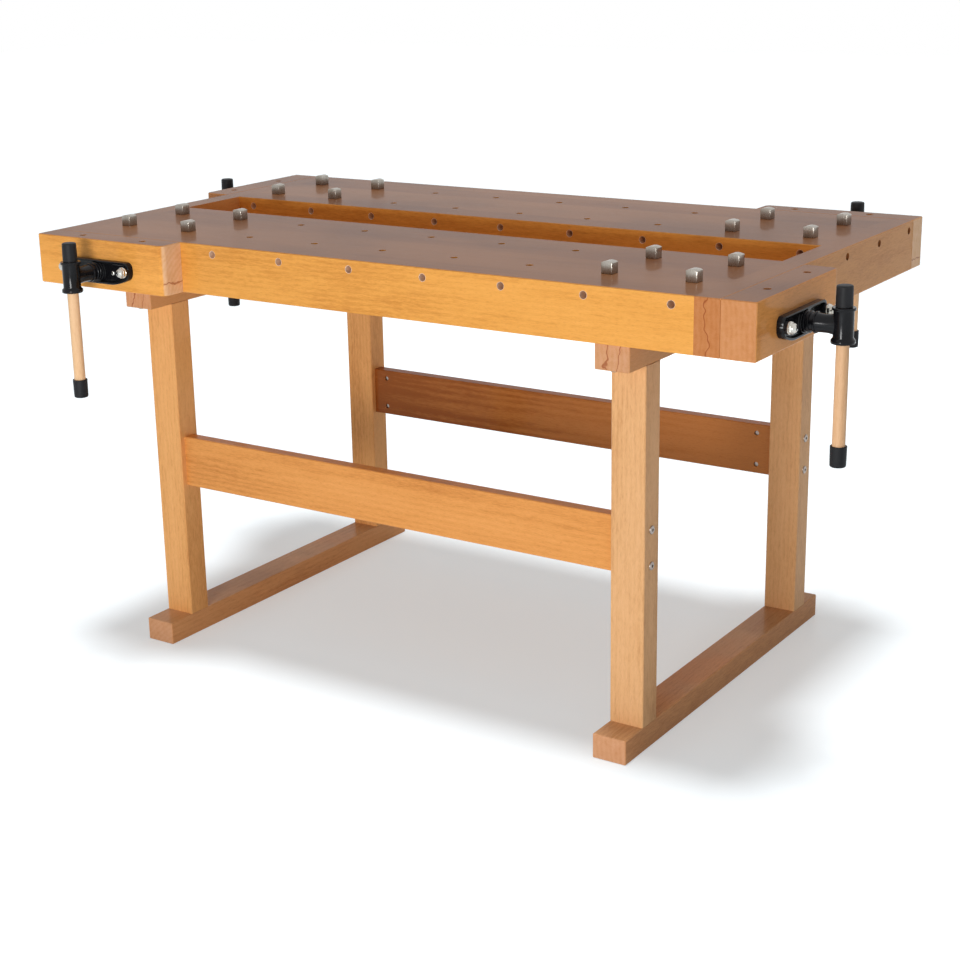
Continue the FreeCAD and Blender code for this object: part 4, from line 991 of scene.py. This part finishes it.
class BENCH_OT_studio(bpy.types.Operator):
    """Set up the floor, the light, the background and the camera"""
    bl_idname = "bench.studio"
    bl_label = "Studio"

    def floor(self):
        """Matt floor that is lifted to white in the open view."""
        let_go()
        bpy.ops.mesh.primitive_plane_add(size=30, location=(0, 0, 0))
        floor = bpy.context.object
        floor.name = "studio_floor"
        made = Nodes(bpy.data.materials.new("studio_floor"))
        matt = made.add("BsdfDiffuse", {"Color": FLOOR_TONE})
        lift = made.maths("MULTIPLY", made.open_view(), FLOOR_GLOW)
        glow = made.add("Emission", {"Color": WHITE, "Strength": lift})
        both = made.add("AddShader", {0: matt.outputs[0], 1: glow.outputs[0]})
        made.add("OutputMaterial", {0: both.outputs[0]})
        floor.data.materials.append(made.owner)

    def background(self, around):
        """White in the open view, and the light from all round for the rest."""
        world = bpy.data.worlds.new("studio")
        bpy.context.scene.world = world
        made = Nodes(world)
        seen = made.add("MapRange", {"Value": made.open_view(), "To Min": around, "To Max": 1.0})
        sky = made.add("Background", {"Color": WHITE, "Strength": seen.outputs[0]})
        made.add("OutputWorld", {0: sky.outputs[0]})

    def execute(self, context):
        setup = context.scene.bench_studio
        self.floor()
        self.background(setup.around)
        let_go()
        bpy.ops.object.light_add(type="SUN", location=(0, 0, 4))
        above = bpy.context.object
        above.name = "light_above"
        above.data.energy = setup.overhead
        above.data.angle = SUN_SPREAD
        above.visible_glossy = False
        for name, side, strength in (("front", -1, setup.front), ("behind", 1, setup.behind)):
            aim = Vector((0.75, -3.0, -0.3 * side)) * side
            bpy.ops.object.light_add(type="AREA", location=(-0.75 * side, 3.4 * side, 0.85),
                                     rotation=aim.to_track_quat("-Z", "Y").to_euler())
            box = bpy.context.object
            box.name = "light_" + name
            box.data.energy = BOX_WATTS * strength
            box.data.shape = "DISK"
            box.data.size = BOX_SIZE
            box.visible_glossy = side < 0
        bpy.ops.object.camera_add(location=setup.place)
        camera = bpy.context.object
        camera.name = "studio_camera"
        forward = Vector((-math.sin(setup.heading) * math.cos(setup.tilt),
                          math.cos(setup.heading) * math.cos(setup.tilt), -math.sin(setup.tilt)))
        right = Vector((math.cos(setup.heading), math.sin(setup.heading), 0))
        upright = right.cross(forward)
        across = math.cos(setup.roll) * right + math.sin(setup.roll) * upright
        up = -math.sin(setup.roll) * right + math.cos(setup.roll) * upright
        turn = Matrix((across, up, -forward)).transposed().to_4x4()
        camera.matrix_world = Matrix.Translation(Vector(setup.place)) @ turn
        camera.data.lens = setup.lens
        camera.data.sensor_width = 36
        camera.data.shift_x, camera.data.shift_y = LENS_SHIFT
        camera.data.clip_end = 100
        context.scene.camera = camera
        context.scene.view_settings.view_transform = "Standard"
        return {"FINISHED"}


class BENCH_PT_panel(bpy.types.Panel):
    """Settings and steps of the bench"""
    bl_label = "Woodworking Bench"
    bl_idname = "BENCH_PT_panel"
    bl_space_type = "VIEW_3D"
    bl_region_type = "UI"
    bl_category = "Bench"

    def draw(self, context):
        for label, name, group in GROUPS:
            box = self.layout.box()
            box.label(text=label)
            for setting in group.__annotations__:
                box.prop(getattr(context.scene, name), setting)
        for step in STEPS:
            self.layout.operator(step.bl_idname)


GROUPS = (("Timber", "bench_timber", TimberLook), ("Metal", "bench_metal", MetalLook),
          ("Vises", "bench_vise", ViseShape), ("Dogs", "bench_dog", DogShape),
          ("Studio", "bench_studio", StudioSetup))
STEPS = (BENCH_OT_timber, BENCH_OT_plates, BENCH_OT_rods, BENCH_OT_spindles, BENCH_OT_bars,
         BENCH_OT_dogs, BENCH_OT_fixings, BENCH_OT_studio)


def register():
    for label, name, group in GROUPS:
        bpy.utils.register_class(group)
        setattr(bpy.types.Scene, name, bpy.props.PointerProperty(type=group))
    for step in STEPS:
        bpy.utils.register_class(step)
    bpy.utils.register_class(BENCH_PT_panel)


def unregister():
    bpy.utils.unregister_class(BENCH_PT_panel)
    for step in reversed(STEPS):
        bpy.utils.unregister_class(step)
    for label, name, group in reversed(GROUPS):
        delattr(bpy.types.Scene, name)
        bpy.utils.unregister_class(group)


def main():
    register()
    for step in STEPS:
        family, action = step.bl_idname.split(".")
        getattr(getattr(bpy.ops, family), action)()


if __name__ == "__main__":
    main()
